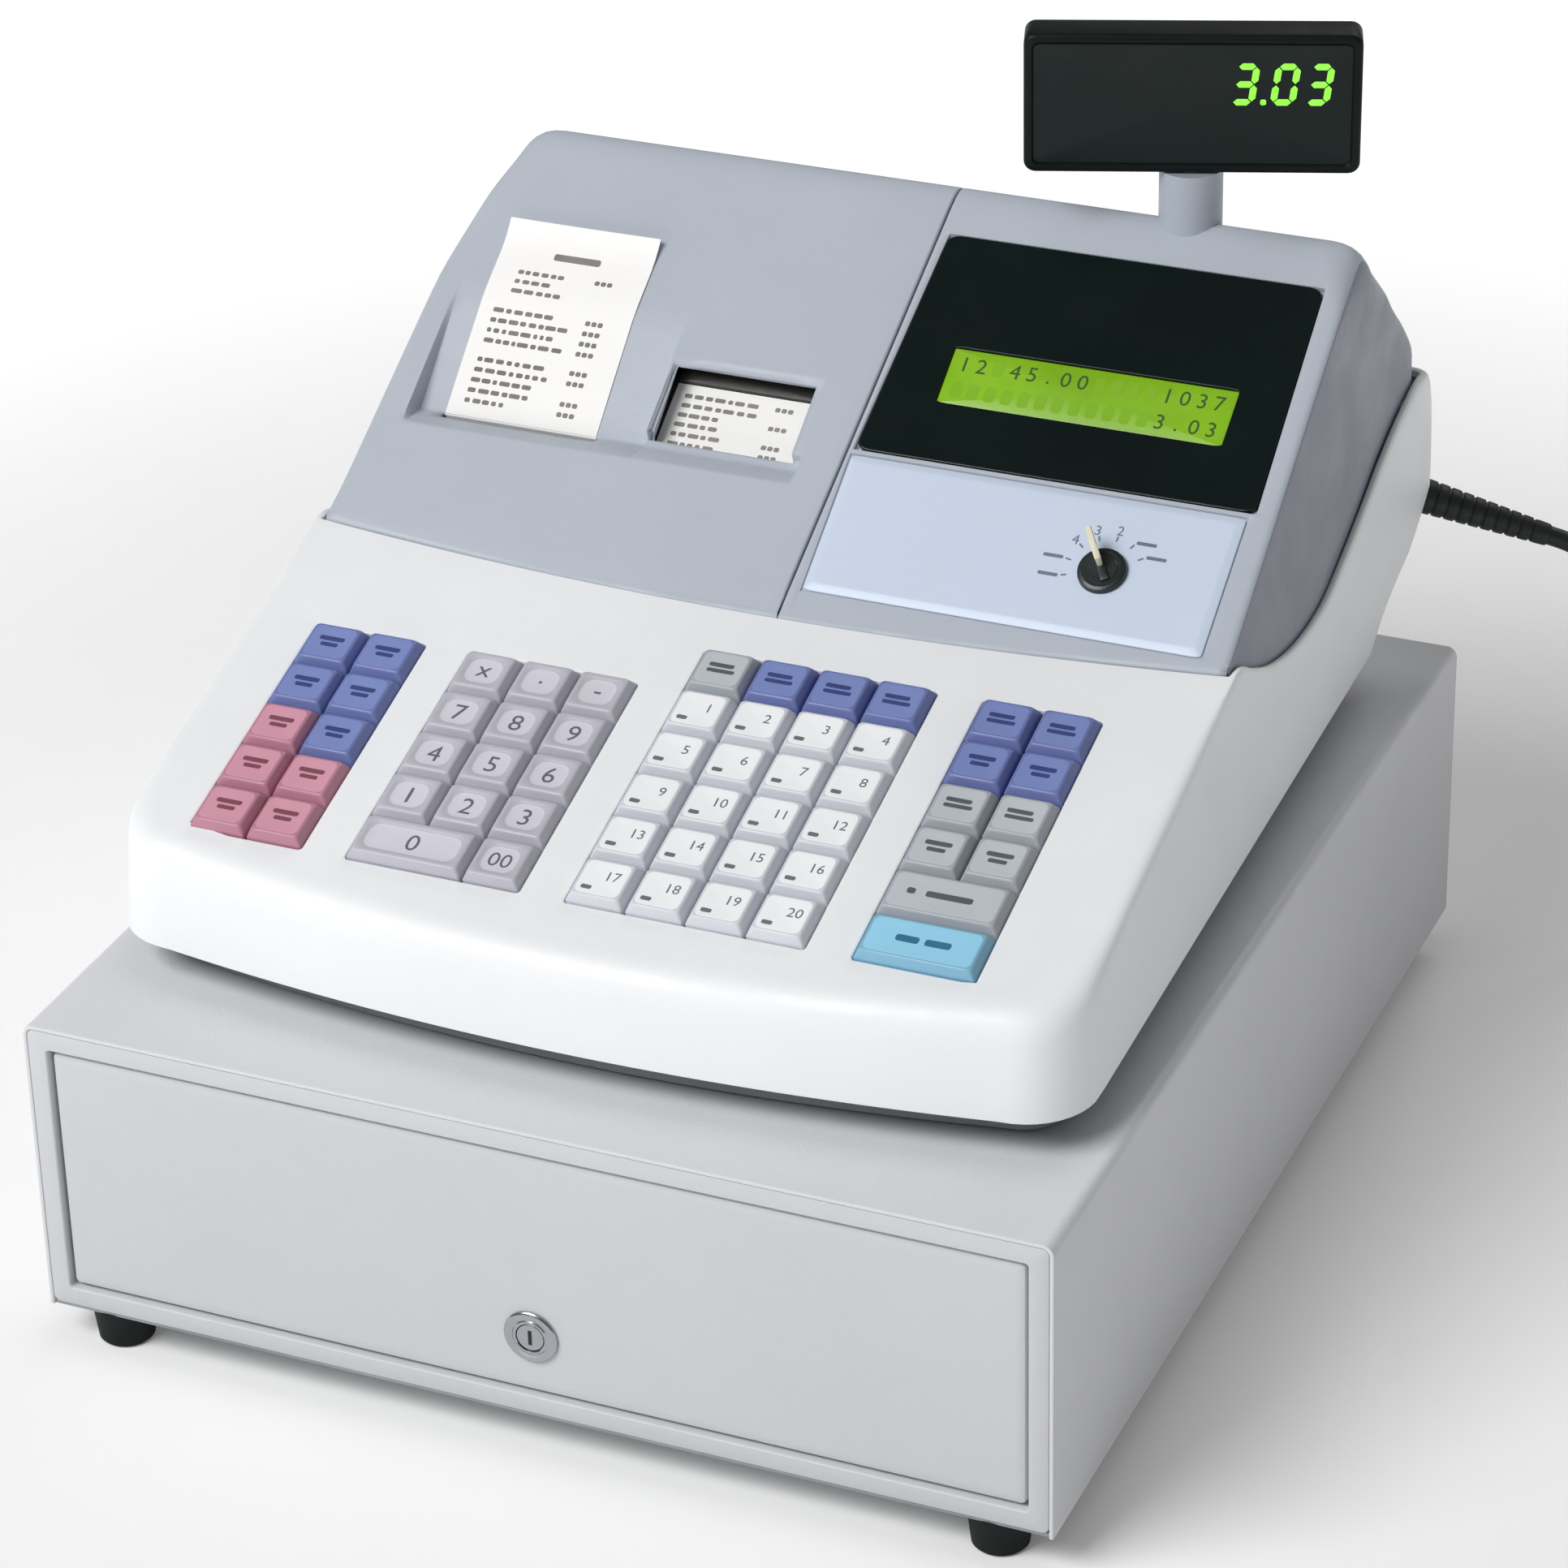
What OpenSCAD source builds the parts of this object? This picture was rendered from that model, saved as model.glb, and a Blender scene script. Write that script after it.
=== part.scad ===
// Electronic cash register standing on its own cash drawer.
// Origin: centre of the object's outline on the floor. +X right, +Y back, +Z up. Millimetres.

/* [Cabinet] */
// Width of the drawer cabinet
cab_w = 360; // [350:1:370]
// Depth of the drawer cabinet
cab_d = 420; // [410:1:430]
// Height of the drawer cabinet above its feet
cab_h = 110; // [108:1:114]
// Height of the rubber feet
foot_h = 14; // [12:1:18]
// Thickness of the sheet steel
sheet = 1.5; // [1:0.1:2]

/* [Keyboard] */
// Slope of the keyboard, degrees
key_slope = 16.5; // [15:0.5:18]
// Distance between key columns
key_px = 20.9; // [20:0.1:21]
// Distance between key rows
key_py = 20; // [19:0.1:20]
// Height of a key's face above the case
key_top = 3.2; // [3:0.1:4]
// Travel of a key
key_travel = 3; // [2:0.1:3]

/* [Housing] */
// Slope of the display face, degrees
face_slope = 33.4; // [32:0.1:35]
// Wall thickness of the plastic casings
wall = 2.5; // [2:0.1:3]
// Radius of the customer display's pole
pole_r = 11; // [9:0.5:12]
// Angle of the customer display at rest, degrees
head_turn = 19; // [0:1:45]

/* [Lead] */
// Diameter of the mains lead
lead_d = 7; // [6:0.5:8]

/* [Hidden] */
$fn = 48;
eps = 0.01;
big = 400;
shaft_gap = 0.05;

// Cabinet
cab_x = cab_w / 2;
cab_y0 = -215;
cab_y1 = cab_y0 + cab_d;
cab_z0 = foot_h;
cab_z1 = foot_h + cab_h;
edge_r = 4;
frame_rim = 7;
frame_deep = 10;
open_x = cab_x - sheet - frame_rim;
open_z0 = cab_z0 + sheet + frame_rim;
open_z1 = cab_z1 - sheet - frame_rim;
foot_x = 158;
foot_y = [-203.5, 192];
panel_gap = 1;

// Drawer
panel_y0 = cab_y0 + 1.5;
panel_y1 = panel_y0 + 3;
body_y0 = -199;
body_y1 = 150;
body_x = 163;
body_z0 = 26;
body_z1 = 84;
rail_z = 40;
lock_z = 45;
front_roller = [-188, 30.7, 9];
rear_roller = [135, 61, 9.2];
tray_x = 160.5;
tray_y0 = -190;
tray_y1 = 146;
tray_z0 = body_z0 + sheet;
tray_z1 = 88;
coin_r = 54;
coin_y = -132;
bill_y0 = -70;
bill_y1 = 134;
rod_y = 139;
rod_z = 93;
clip_len = 78;
clip_drop = 24;
latch_y = 176;
latch_z = 60;

// Case
case_z0 = cab_z1 + 14;
case_rear = 215;
case_bow = 17;
case_corner = 24;
key_y0 = -161;
key_z0 = 176;
case_side_z = 190;
boss_at = [[151.5, -140], [-151.5, -140], [138, 130], [-138, 130]];
plate_posts = [for (x = [-94, -15.8, 83.5], v = [8, 112]) [x, v]];
housing_taper = 0.0708;
console_taper = 0.018;
shoulder_taper = 0.25;
shoulder_z = 277;
housing_z = 194;
housing_x = 165.8;
face_y = -15;
face_z = 221;
seam_y = -24;
seam_bow = 9;
seam_gap = 1.5;
seam_z = 215;
seam_lean = 0.36;
face_wall = 3;
hinge_y = 159;
hinge_z = 276.5;
hinge_r = 5;
hinge_pin_r = 2.5;
knuckles = [-100, -50];
bay_back = 165.5;

// Key blocks: left edge of each block, columns and rows
block_gap = 15.7;
block_a = -143.8;
block_b = block_a + 2 * key_px + block_gap;
block_c = block_b + 3 * key_px + block_gap;
block_d = block_c + 4 * key_px + block_gap;
block_v = 1;
key_gap = 1;

// Display face, in its own plane: across, up the slope
panel_box = [14, 2, 155, 56];
window_low = [14.5, 157, 58.5];
window_high = [20, 155, 148];
lcd_box = [36, 81.5, 138.5, 104];
mode_at = [113.5, 27];
mode_r = 8.5;
recess_x = [-150, -62];
recess_deep = 7;
recess_end = 99;
journal_x = [-61, -7];

// Printer
platen = [23, 224, 7];
spool = [50, 222, 11];
roll = [103, 248, 33];
receipt_span = [-139.5, -81.5];
journal_span = [-63, -6];
plate_x = [-150, -72, 0];

// Customer display
pole_at = [100, 130];
pole_top = 331;
head_w = 114;
head_h = 50;
head_t = 16;
pivot_r = 6;

// Lead: where it leaves the case, its direction there, its route and its coil
relief_at = [167, 209, 180.4];
relief_dir = [0.924, 0.247, -0.291];
relief_len = 44;
lead_r = lead_d / 2;
coil_at = [292.5, 276];
coil_r = 41;
lead_route = [[167, 209, 180.4], [187.3, 214.4, 174], [207.7, 219.9, 167.6], [216, 222, 164.6],
    [225, 224.5, 159], [233, 227, 149.5], [239, 229, 137], [242, 230, 122], [243, 230.5, 100],
    [243.5, 231, 75], [244, 231.5, 50], [244, 232, 32], [244, 234.5, 21], [244, 241, 11],
    [244.3, 251, 5], [244.5, 262, 3.5], [244.5, 276, 3.5]];
tail_route = [[340.5, 276, 10.5], [340.5, 262, 10.3], [340.5, 249, 8], [340.5, 237, 5.2],
    [340.5, 224, 3.8], [340.5, 210, 3.5], [340.5, 196, 4], [340.5, 184, 5]];
plug_at = [340.5, 184, 9];

// --- Shared shapes -------------------------------------------------------

// A box given by its lowest and highest corner
module block(lo, hi) {
    translate(lo) cube([hi[0] - lo[0], hi[1] - lo[1], hi[2] - lo[2]]);
}

// A round bar along X
module bar_x(x0, x1, y, z, r) {
    translate([x0, y, z]) rotate([0, 90, 0]) cylinder(h = x1 - x0, r = r);
}

// An outline in Y and Z, carried along X
module carry_x(x0, x1) {
    translate([x0, 0, 0]) rotate([90, 0, 90]) linear_extrude(x1 - x0) children();
}

// Children are drawn in the keyboard's plane: across, up the slope, out of the case
module on_keyboard() {
    translate([0, key_y0, key_z0]) rotate([key_slope, 0, 0]) children();
}

// Children are drawn in the display face's plane
module on_face() {
    translate([0, face_y, face_z]) rotate([face_slope, 0, 0]) children();
}

// --- Cabinet and drawer --------------------------------------------------

module cabinet_outline(inset) {
    r = edge_r - inset;
    x = cab_x - inset;
    top = cab_z1 - inset;
    polygon([[-x, cab_z0], [x, cab_z0], [x, top - r], [x - r, top - r], [x - r, top],
        [r - x, top], [r - x, top - r], [-x, top - r]]);
    for (s = [-1, 1]) translate([s * (x - r), top - r]) circle(r = r);
}

module cabinet_shell() {
    color("#949597") difference() {
        translate([0, cab_y1, 0]) rotate([90, 0, 0]) linear_extrude(cab_d)
            cabinet_outline(0);
        translate([0, cab_y1 - sheet, 0]) rotate([90, 0, 0]) linear_extrude(cab_d)
            translate([0, -eps]) cabinet_outline(sheet);
        block([eps - cab_x + sheet, cab_y0 - 1, cab_z0 - 1],
            [cab_x - sheet - eps, cab_y1 - sheet, cab_z0 + 1]);
    }
}

module cabinet_base() {
    x = cab_x - sheet;
    color("#8d8f91") difference() {
        block([-x, cab_y0 + 1, cab_z0], [x, cab_y1 - sheet, cab_z0 + sheet]);
        for (sx = [-1, 1], y = foot_y)
            translate([sx * foot_x, y, cab_z0 - 1]) cylinder(h = sheet + 2, r = 2.5);
    }
}

module front_frame() {
    x = cab_x - sheet;
    color("#d9dadd") difference() {
        block([-x, cab_y0, cab_z0 + sheet], [x, cab_y0 + frame_deep, cab_z1 - sheet - 2 * eps]);
        block([-open_x, cab_y0 - 1, open_z0], [open_x, cab_y0 + frame_deep + 1, open_z1]);
        // The shell's rounded top edges
        for (s = [-1, 1])
            translate([s * x, cab_y0 - 1, cab_z1 - sheet]) rotate([-90, 45, 0])
                cube([4.2, 4.2, 2 * frame_deep + 4], center = true);
    }
}

module foot(x, y) {
    translate([x, y, 0]) rotate_extrude()
        polygon([[0, 0], [8.5, 0], [9.5, 1], [11, foot_h], [0, foot_h]]);
    translate([x, y, foot_h - 1]) cylinder(h = sheet + 1, r = 2.5);
}

// Four feet under the cabinet and four pads between the cabinet and the register
module rubber_feet() {
    color("#152724") {
        for (sx = [-1, 1], y = foot_y) foot(sx * foot_x, y);
        for (sx = [-1, 1], y = [-120, 120])
            translate([sx * 120, y, cab_z1]) cylinder(h = 3, r = 9);
    }
}

module runner() {
    x = cab_x - sheet;
    lo = rear_roller[1] - rear_roller[2] - 0.8 - sheet;
    hi = rear_roller[1] + rear_roller[2] + 0.8 + sheet;
    block([x - sheet, -198, lo], [x, 200, hi]);
    block([166, -198, lo], [x, 200, lo + sheet]);
    block([166, -198, hi - sheet], [x, 200, hi]);
    block([x - 2, -200, cab_z0 + sheet], [x, -176, lo + 1]);
    bar_x(164.5, x - 1, front_roller[0], front_roller[1], 3);
}

module drawer_runners() {
    color("#b7babd") {
        runner();
        mirror([1, 0, 0]) runner();
    }
}

module roller_pair(at, x0, x1) {
    for (m = [0, 1]) mirror([m, 0, 0]) difference() {
        bar_x(x0, x1, at[0], at[1], at[2]);
        bar_x(x0 - 1, x1 + 1, at[0], at[1], 3 + shaft_gap);
    }
}

module front_rollers() {
    color("#e8e6df") roller_pair(front_roller, 165, 171);
}

module rear_rollers() {
    color("#e8e6df") roller_pair(rear_roller, 167.5, 175);
}

module drawer_front() {
    x = open_x - panel_gap;
    z0 = open_z0 + panel_gap;
    z1 = open_z1 - panel_gap;
    color("#cdced2") difference() {
        block([-x, panel_y0, z0], [x, body_y0, z1]);
        block([2 - x, panel_y1, z0 + 2], [x - 2, body_y0 + 1, z1 - 2]);
        // Gap through which the lock's cam reaches the frame
        block([-19, -206.5, z0 - 1], [19, body_y0 + 1, z0 + 3]);
        translate([0, panel_y0 - 1, lock_z]) rotate([-90, 0, 0]) cylinder(h = 6, r = 8);
    }
}

module drawer_body() {
    color("#aeb1b4") {
        difference() {
            block([-body_x, body_y0, body_z0], [body_x, body_y1, body_z1]);
            block([sheet - body_x, body_y0 + sheet, body_z0 + sheet],
                [body_x - sheet, body_y1 - sheet, body_z1 + 1]);
        }
        // Front plate that carries the drawer's front
        block([-body_x, body_y0, open_z0 + panel_gap], [body_x, body_y0 + sheet, 100]);
        for (m = [0, 1]) mirror([m, 0, 0]) {
            block([body_x - eps, -196.5, rail_z], [171, body_y1, rail_z + sheet]);
            bar_x(body_x - 1, 175.5, rear_roller[0], rear_roller[1], 3);
        }
    }
}

// Plate on the drawer's back, with the window that the latch lever drops into
module latch_striker() {
    color("#b7babd") difference() {
        union() {
            block([-16, body_y1, 48], [16, body_y1 + 14, 51]);
            block([-16, body_y1, 36], [16, body_y1 + 2, 49]);
        }
        block([-9, body_y1 + 3, 47], [9, body_y1 + 11.5, 52]);
    }
}

module coin_cup(x0, x1) {
    intersection() {
        bar_x(x0, x1, coin_y, tray_z1 - 1, coin_r);
        block([x0, -big, tray_z0 + wall], [x1, big, big]);
    }
}

module cash_tray() {
    pitch = 2 * tray_x / 5;
    bill = 2 * tray_x / 4;
    color("#3a3d40") difference() {
        block([-tray_x, tray_y0, tray_z0], [tray_x, tray_y1, tray_z1]);
        for (i = [0 : 4])
            coin_cup(i * pitch - tray_x + 1.5, (i + 1) * pitch - tray_x - 1.5);
        for (i = [0 : 3])
            block([i * bill - tray_x + 1.5, bill_y0, tray_z0 + wall],
                [(i + 1) * bill - tray_x - 1.5, bill_y1, tray_z1 + 1]);
    }
}

// The rod of the banknote clips, in lugs that stand on the tray's rear wall
module clip_rod() {
    color("#c9ccd0") {
        bar_x(-151, 151, rod_y, rod_z, 2);
        for (x = [-150, -80.5, 0, 80.5, 150])
            block([x - 2, rod_y - 4, tray_z1], [x + 2, rod_y + 4, rod_z + 3.5]);
    }
}

module bill_clip(i) {
    x = (i - 1.5) * 2 * tray_x / 4;
    color("#2f3234") translate([x, rod_y, rod_z]) difference() {
        union() {
            bar_x(-14, 14, 0, 0, 4);
            rotate([clip_drop, 0, 0]) {
                block([-9, -clip_len, -1], [9, 0, 1]);
                block([-26, -clip_len, -2], [26, -clip_len + 22, 1.5]);
            }
        }
        bar_x(-15, 15, 0, 0, 2 + shaft_gap);
    }
}

module lock_barrel() {
    color("#d8dadd") translate([0, cab_y0, lock_z]) rotate([-90, 0, 0]) difference() {
        union() {
            cylinder(h = 1.5, r = 9.5);
            cylinder(h = 9.5, r = 8);
        }
        translate([0, 0, -1]) cylinder(h = 12, r = 5 + shaft_gap);
    }
}

module lock_plug() {
    color("#c4c7ca") translate([0, cab_y0, lock_z]) rotate([-90, 0, 0]) {
        difference() {
            translate([0, 0, 0.3]) cylinder(h = 10.9, r = 5);
            translate([-0.7, -3, -1]) cube([1.4, 6, 5]);
        }
        translate([0, 0, 11.2]) cylinder(h = 2, r = 5.5);
        translate([0, -4, 11.2]) cube([26, 8, 2]);
    }
}

module latch_lever() {
    color("#9a9da1") difference() {
        union() {
            bar_x(-5, 5, latch_y, latch_z, 5);
            block([-4, latch_y - 22, latch_z - 2], [4, latch_y, latch_z + 2]);
            block([-4, latch_y - 22, latch_z - 8], [4, latch_y - 18, latch_z]);
            block([-4, latch_y, latch_z - 2], [4, latch_y + 14, latch_z + 2]);
        }
        bar_x(-6, 6, latch_y, latch_z, 2.5 + shaft_gap);
    }
}

module release_solenoid() {
    color("#7d8286") {
        bar_x(-12, 12, latch_y, latch_z, 2.5);
        for (m = [0, 1]) mirror([m, 0, 0])
            block([8, latch_y - 6, cab_z0 + sheet], [10.5, latch_y + 6, latch_z + 6]);
        block([-26, latch_y - 14, cab_z0 + sheet], [26, latch_y + 24, cab_z0 + 4]);
        block([14, latch_y - 10, cab_z0 + 4], [26, latch_y + 20, cab_z0 + 34]);
        translate([0, latch_y + 14, cab_z0 + 4]) cylinder(h = 26, r = 7);
    }
}

// --- Register case -------------------------------------------------------

// Outline seen from above: a bowed front, straight sides and round corners.
// half_f and half_r are its half widths at the front and the back.
function bow_y(x, half, mid, bow) = mid + bow * pow(x / half, 2);
function arc(c, r, a0, a1, n) = [for (i = [0 : n]) let (a = a0 + (a1 - a0) * i / n)
    [c[0] + r * cos(a), c[1] + r * sin(a)]];
function right_side(half_f, half_r, mid, bow, rear, rf, rr) = concat(
    [for (i = [0 : 8]) let (x = (half_f - rf) * i / 8) [x, bow_y(x, half_f, mid, bow)]],
    arc([half_f - rf, bow_y(half_f - rf, half_f, mid, bow) + rf], rf, -75, 0, 5),
    arc([half_r - rr, rear - rr], rr, 0, 90, 5));
function flip(pts) = [for (i = [len(pts) - 1 : -1 : 1]) [-pts[i][0], pts[i][1]]];
function outline(half_f, half_r, mid, bow, rear, rf, rr) =
    let (side = right_side(half_f, half_r, mid, bow, rear, rf, rr)) concat(side, flip(side));

module plan(half_f, half_r, mid, rear, inset) {
    polygon(outline(half_f - inset, half_r - inset, mid + inset, case_bow, rear - inset,
        case_corner - inset, 20 - inset));
}

// The case seen from above, widening a little from its foot to its shoulder
module case_plan(inset) {
    hull() {
        translate([0, 0, case_z0 - 8]) linear_extrude(eps)
            plan(171.3, 156.9, -188.85, case_rear, inset);
        translate([0, 0, case_side_z]) linear_extrude(eps)
            plan(169, 169, -182.5, case_rear, inset);
    }
    translate([0, 0, case_side_z]) linear_extrude(120)
        plan(169, 169, -182.5, case_rear, inset);
}

// Heights of the keyboard's plane and of the display face at y
function key_z(y) = key_z0 + tan(key_slope) * (y - key_y0);
function face_z_at(y) = face_z + tan(face_slope) * (y - face_y);

shoulder = [[face_y, key_z(face_y)], [0, 214], [18, 206], [40, 200], [62, 198], [82, 200],
    [100, 206.5], [122, 216], [143, 226], [165, 234], [186, 238]];
rear_wall = [[200, 236], [208, 226], [213, 212], [215, 198], [214, 187], [209, 178],
    [198, 168], [186, 160], [176, 150], [170, case_z0]];
rear_wall_inner = [[197, 233], [205, 225], [210.5, 211], [212.5, 198], [211.5, 188], [207, 180],
    [196, 170], [184, 162], [173.5, 151.5], [167.5, case_z0 - 1]];

module case_side() {
    polygon(concat([[-230, case_z0], [-230, key_z(-230)]], shoulder, rear_wall));
}

// The same side view, a wall's thickness further in
module case_side_inner() {
    polygon(concat([[-230, case_z0 - 1], [-230, key_z(-230) - wall]],
        [for (p = shoulder) [p[0], p[1] - wall]], rear_wall_inner));
}

module case_solid(inset) {
    intersection() {
        carry_x(-big / 2, big / 2) case_side();
        case_plan(inset);
    }
}

// Outline of the upper housing from above, with the bowed seam as its front edge.
// left and right are its half widths on the two sides.
module housing_plan(left, right, mid, rear) {
    polygon(concat(right_side(right, right, mid, seam_bow, rear, 1, 14),
        flip(right_side(left, left, mid, seam_bow, rear, 1, 14))));
}

module key_windows() {
    for (b = [[block_a, 2, 5], [block_b, 3, 5], [block_c, 4, 6], [block_d, 2, 6]])
        block([b[0], block_v, -8], [b[0] + b[1] * key_px, block_v + b[2] * key_py, 2]);
}

// Posts that hang down from the keyboard's underside, and the screw bosses in the corners,
// which a rib joins to the side wall
module case_posts() {
    on_keyboard() for (p = plate_posts)
        translate([p[0], p[1], -9]) cylinder(h = 8, r = 3);
    intersection() {
        case_solid(1);
        for (p = boss_at) difference() {
            union() {
                translate([p[0], p[1], cab_z1 + 5.5]) cylinder(h = 38, r = 4.5);
                translate([p[0] < 0 ? -170 : p[0], p[1] - 1.5, case_z0 + 6])
                    cube([170 - abs(p[0]), 3, 20]);
            }
            translate([p[0], p[1], cab_z1]) cylinder(h = 15, r = 1.9);
        }
    }
}

module upper_case() {
    color("#e4e5e9") difference() {
        union() {
            difference() {
                case_solid(0);
                intersection() {
                    carry_x(-big / 2, big / 2) case_side_inner();
                    case_plan(wall);
                }
                on_keyboard() key_windows();
                // Opening that the upper housing stands in
                translate([0, 0, case_side_z - 2]) linear_extrude(big)
                    housing_plan(169 - wall, 169 - wall, seam_y - seam_gap, 196.5);
            }
            case_posts();
            // Gland that the strain relief sits in
            gland() translate([0, 0, -14]) cylinder(h = 16, r = 8.5);
        }
        gland() translate([0, 0, -20]) cylinder(h = 40, r = 6.55);
        gland() translate([0, 0, 2]) cylinder(h = 20, r = 8.4);
    }
}

// Children are drawn along the strain relief's own axis, from the gland in the case
module gland() {
    translate(relief_at - 10 * relief_dir)
        rotate([0, acos(relief_dir[2]), atan2(relief_dir[1], relief_dir[0])]) children();
}

module case_screws() {
    for (p = boss_at) translate([p[0], p[1], cab_z1 + 0.8]) {
        cylinder(h = 2.2, r = 3.6);
        cylinder(h = 13, r = 1.9);
    }
}

// Base tray with the four screws that hold the upper case on it
module lower_case() {
    color("#a9acb0") case_screws();
    color("#8f9296") difference() {
        translate([0, 0, cab_z1 + 3]) linear_extrude(case_z0 + 5 - cab_z1 - 3)
            plan(168, 155.5, -185, 166, 9);
        translate([0, 0, cab_z1 + 3 + wall]) linear_extrude(20)
            plan(168, 155.5, -185, 166, 9 + wall);
        for (p = boss_at) translate([p[0], p[1], cab_z1]) cylinder(h = 10, r = 1.9);
    }
}

module key_plate() {
    color("#6e7276") on_keyboard() {
        difference() {
            block([-146, -6, -11], [137, 124, -9]);
            for (b = [[block_a, 2, 5], [block_b, 3, 5], [block_c, 4, 6], [block_d, 2, 6]],
                i = [0 : b[1] - 1], j = [0 : b[2] - 1])
                translate([b[0] + (i + 0.5) * key_px, block_v + (j + 0.5) * key_py, -10])
                    cube([7, 7, 4], center = true);
        }
        for (p = plate_posts) translate([p[0], p[1], -18]) cylinder(h = 8, r = 2.5);
    }
}

module main_board() {
    color("#2f6b45") on_keyboard() {
        block([-144, -4, -19.5], [135, 122, -18]);
        block([-60, 20, -22.5], [-35, 45, -19.4]);
        block([20, 60, -24], [50, 84, -19.4]);
    }
}

module transformer() {
    color("#5b5f63") {
        block([74, 60, cab_z1 + 5.5], [136, 112, cab_z1 + 60]);
        block([82, 48, cab_z1 + 14], [128, 124, cab_z1 + 52]);
    }
}

// --- Upper housing -------------------------------------------------------

module housing_side() {
    low = 208;
    polygon(concat([[face_y - (face_z - low) / tan(face_slope), low]],
        [[121, face_z_at(121)], [125, 312.3], [131, 310.3], [140, 301.5], [156, 287.5],
            [173, 268], [187, 248], [194.5, 236], [194.5, 225]],
        [[165, 225], [143, 217], [122, 207], [100, 198], [82, 191.5], [62, 189.5],
            [40, 191.5], [18, 197.5], [0, 205.5], [-5, low]]));
}

module housing_side_inner() {
    t = face_wall / cos(face_slope);
    polygon([[-60, 150], [-60, face_z_at(-60) - t], [122, face_z_at(122) - t], [127, 307.5],
        [137, 299], [153.5, 284.7], [170.5, 265.5], [184.5, 245.5], [191.5, 234.5], [191.5, 150]]);
}

// The housing seen from above at height z: it narrows towards the top, more on the printer's
// side than beside the displays and most at the printer's shoulder, and its front edge leans
// forward so that the printer cover swings clear of the case
module housing_slice(z, inset) {
    translate([0, 0, z]) linear_extrude(eps)
        housing_plan(housing_x - housing_taper * (z - housing_z)
                - shoulder_taper * max(z - shoulder_z, 0) - inset,
            housing_x - console_taper * (z - housing_z) - inset,
            seam_y - seam_lean * (z - seam_z) + inset, 195 - inset);
}

module housing_solid(inset) {
    intersection() {
        carry_x(-big / 2, big / 2) {
            if (inset < wall) housing_side();
            else housing_side_inner();
        }
        hull() {
            housing_slice(160, inset);
            housing_slice(shoulder_z, inset);
            housing_slice(320, inset);
        }
    }
}

// Everything left of the seam between the printer cover and the display console
function seam_x(y) = 8.8 + 0.0545 * (y - seam_y);
module left_of_seam(gap, back) {
    translate([0, 0, 150]) linear_extrude(200) polygon([[-200, -80], [seam_x(-80) - gap, -80],
        [seam_x(back) - gap, back], [-200, back]]);
}

module window_room(grow, low, high) {
    a = window_low;
    b = window_high;
    translate([0, 0, low]) linear_extrude(high - low) polygon([[a[0] - grow, a[2] - grow],
        [a[1] + grow, a[2] - grow], [b[1] + grow, b[2] + grow], [b[0] - grow, b[2] + grow]]);
}

module console_cuts() {
    on_face() {
        window_room(0.2, -2, 5);
        block([lcd_box[0] - 0.2, lcd_box[1] - 0.2, -9], [lcd_box[2] + 0.2, lcd_box[3] + 0.2, 2]);
        block([panel_box[0] - 0.6, panel_box[1] - 0.6, -0.8],
            [panel_box[2] + 0.6, panel_box[3] + 0.5, 3]);
        translate([mode_at[0], mode_at[1], -9]) cylinder(h = 20, r = mode_r + 0.6);
    }
    translate([pole_at[0], pole_at[1], 200]) cylinder(h = 140, r = pole_r + 0.4);
}

module hinge_knuckle(x) {
    carry_x(x, x + 12) {
        translate([hinge_y, hinge_z]) circle(r = hinge_r);
        polygon([[hinge_y - 3, hinge_z - 4], [hinge_y + 4, hinge_z + 3],
            [bay_back + 1, hinge_z - 3], [bay_back + 1, 250]]);
    }
}

module top_housing() {
    color("#b1b7c3") {
        difference() {
            housing_solid(0);
            housing_solid(wall);
            left_of_seam(0, bay_back);
            console_cuts();
        }
        // Left wall of the display console, rear wall of the printer's bay and guide tube
        // of the pole
        intersection() {
            translate([0, 0, -1.5]) housing_solid(1);
            union() {
                difference() {
                    left_of_seam(-wall - 0.3, bay_back + 1);
                    left_of_seam(-0.3, 200);
                    block([-200, -90, 100], [200, -10, 400]);
                }
                block([-200, bay_back, 196], [seam_x(bay_back) + 1, bay_back + wall, hinge_z + 20]);
                translate([pole_at[0], pole_at[1], 0]) difference() {
                    translate([0, 0, 240]) cylinder(h = 90, r = pole_r + 3);
                    translate([0, 0, 230]) cylinder(h = 60, r = pole_r + shaft_gap);
                    translate([0, 0, 289]) cylinder(h = 60, r = pole_r + 0.4);
                }
            }
        }
        for (x = knuckles) hinge_knuckle(x);
        bar_x(-140, seam_x(hinge_y) + 1.6, hinge_y, hinge_z, hinge_pin_r);
        // Lugs that stand against the case's side walls
        for (m = [0, 1]) mirror([m, 0, 0])
            block([161.5, 170, 226], [169 - wall, 180, 234]);
    }
}

module display_window() {
    color("#122222") on_face() difference() {
        window_room(0, -2, 0.3);
        block([lcd_box[0] - 0.2, lcd_box[1] - 0.2, -9], [lcd_box[2] + 0.2, lcd_box[3] + 0.2, 2]);
    }
}

module lcd_panel() {
    color("#84b022") on_face() {
        block([lcd_box[0], lcd_box[1], -face_wall - 1], [lcd_box[2], lcd_box[3], -0.5]);
        block([lcd_box[0] - 5, lcd_box[1] - 5, -face_wall - 4],
            [lcd_box[2] + 5, lcd_box[3] + 5, -face_wall]);
    }
}

module mode_panel() {
    color("#c2d0e2") on_face() difference() {
        block([panel_box[0], panel_box[1], -0.8], [panel_box[2], panel_box[3], 0.7]);
        translate([mode_at[0], mode_at[1], -9]) cylinder(h = 20, r = mode_r + shaft_gap);
    }
}

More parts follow.
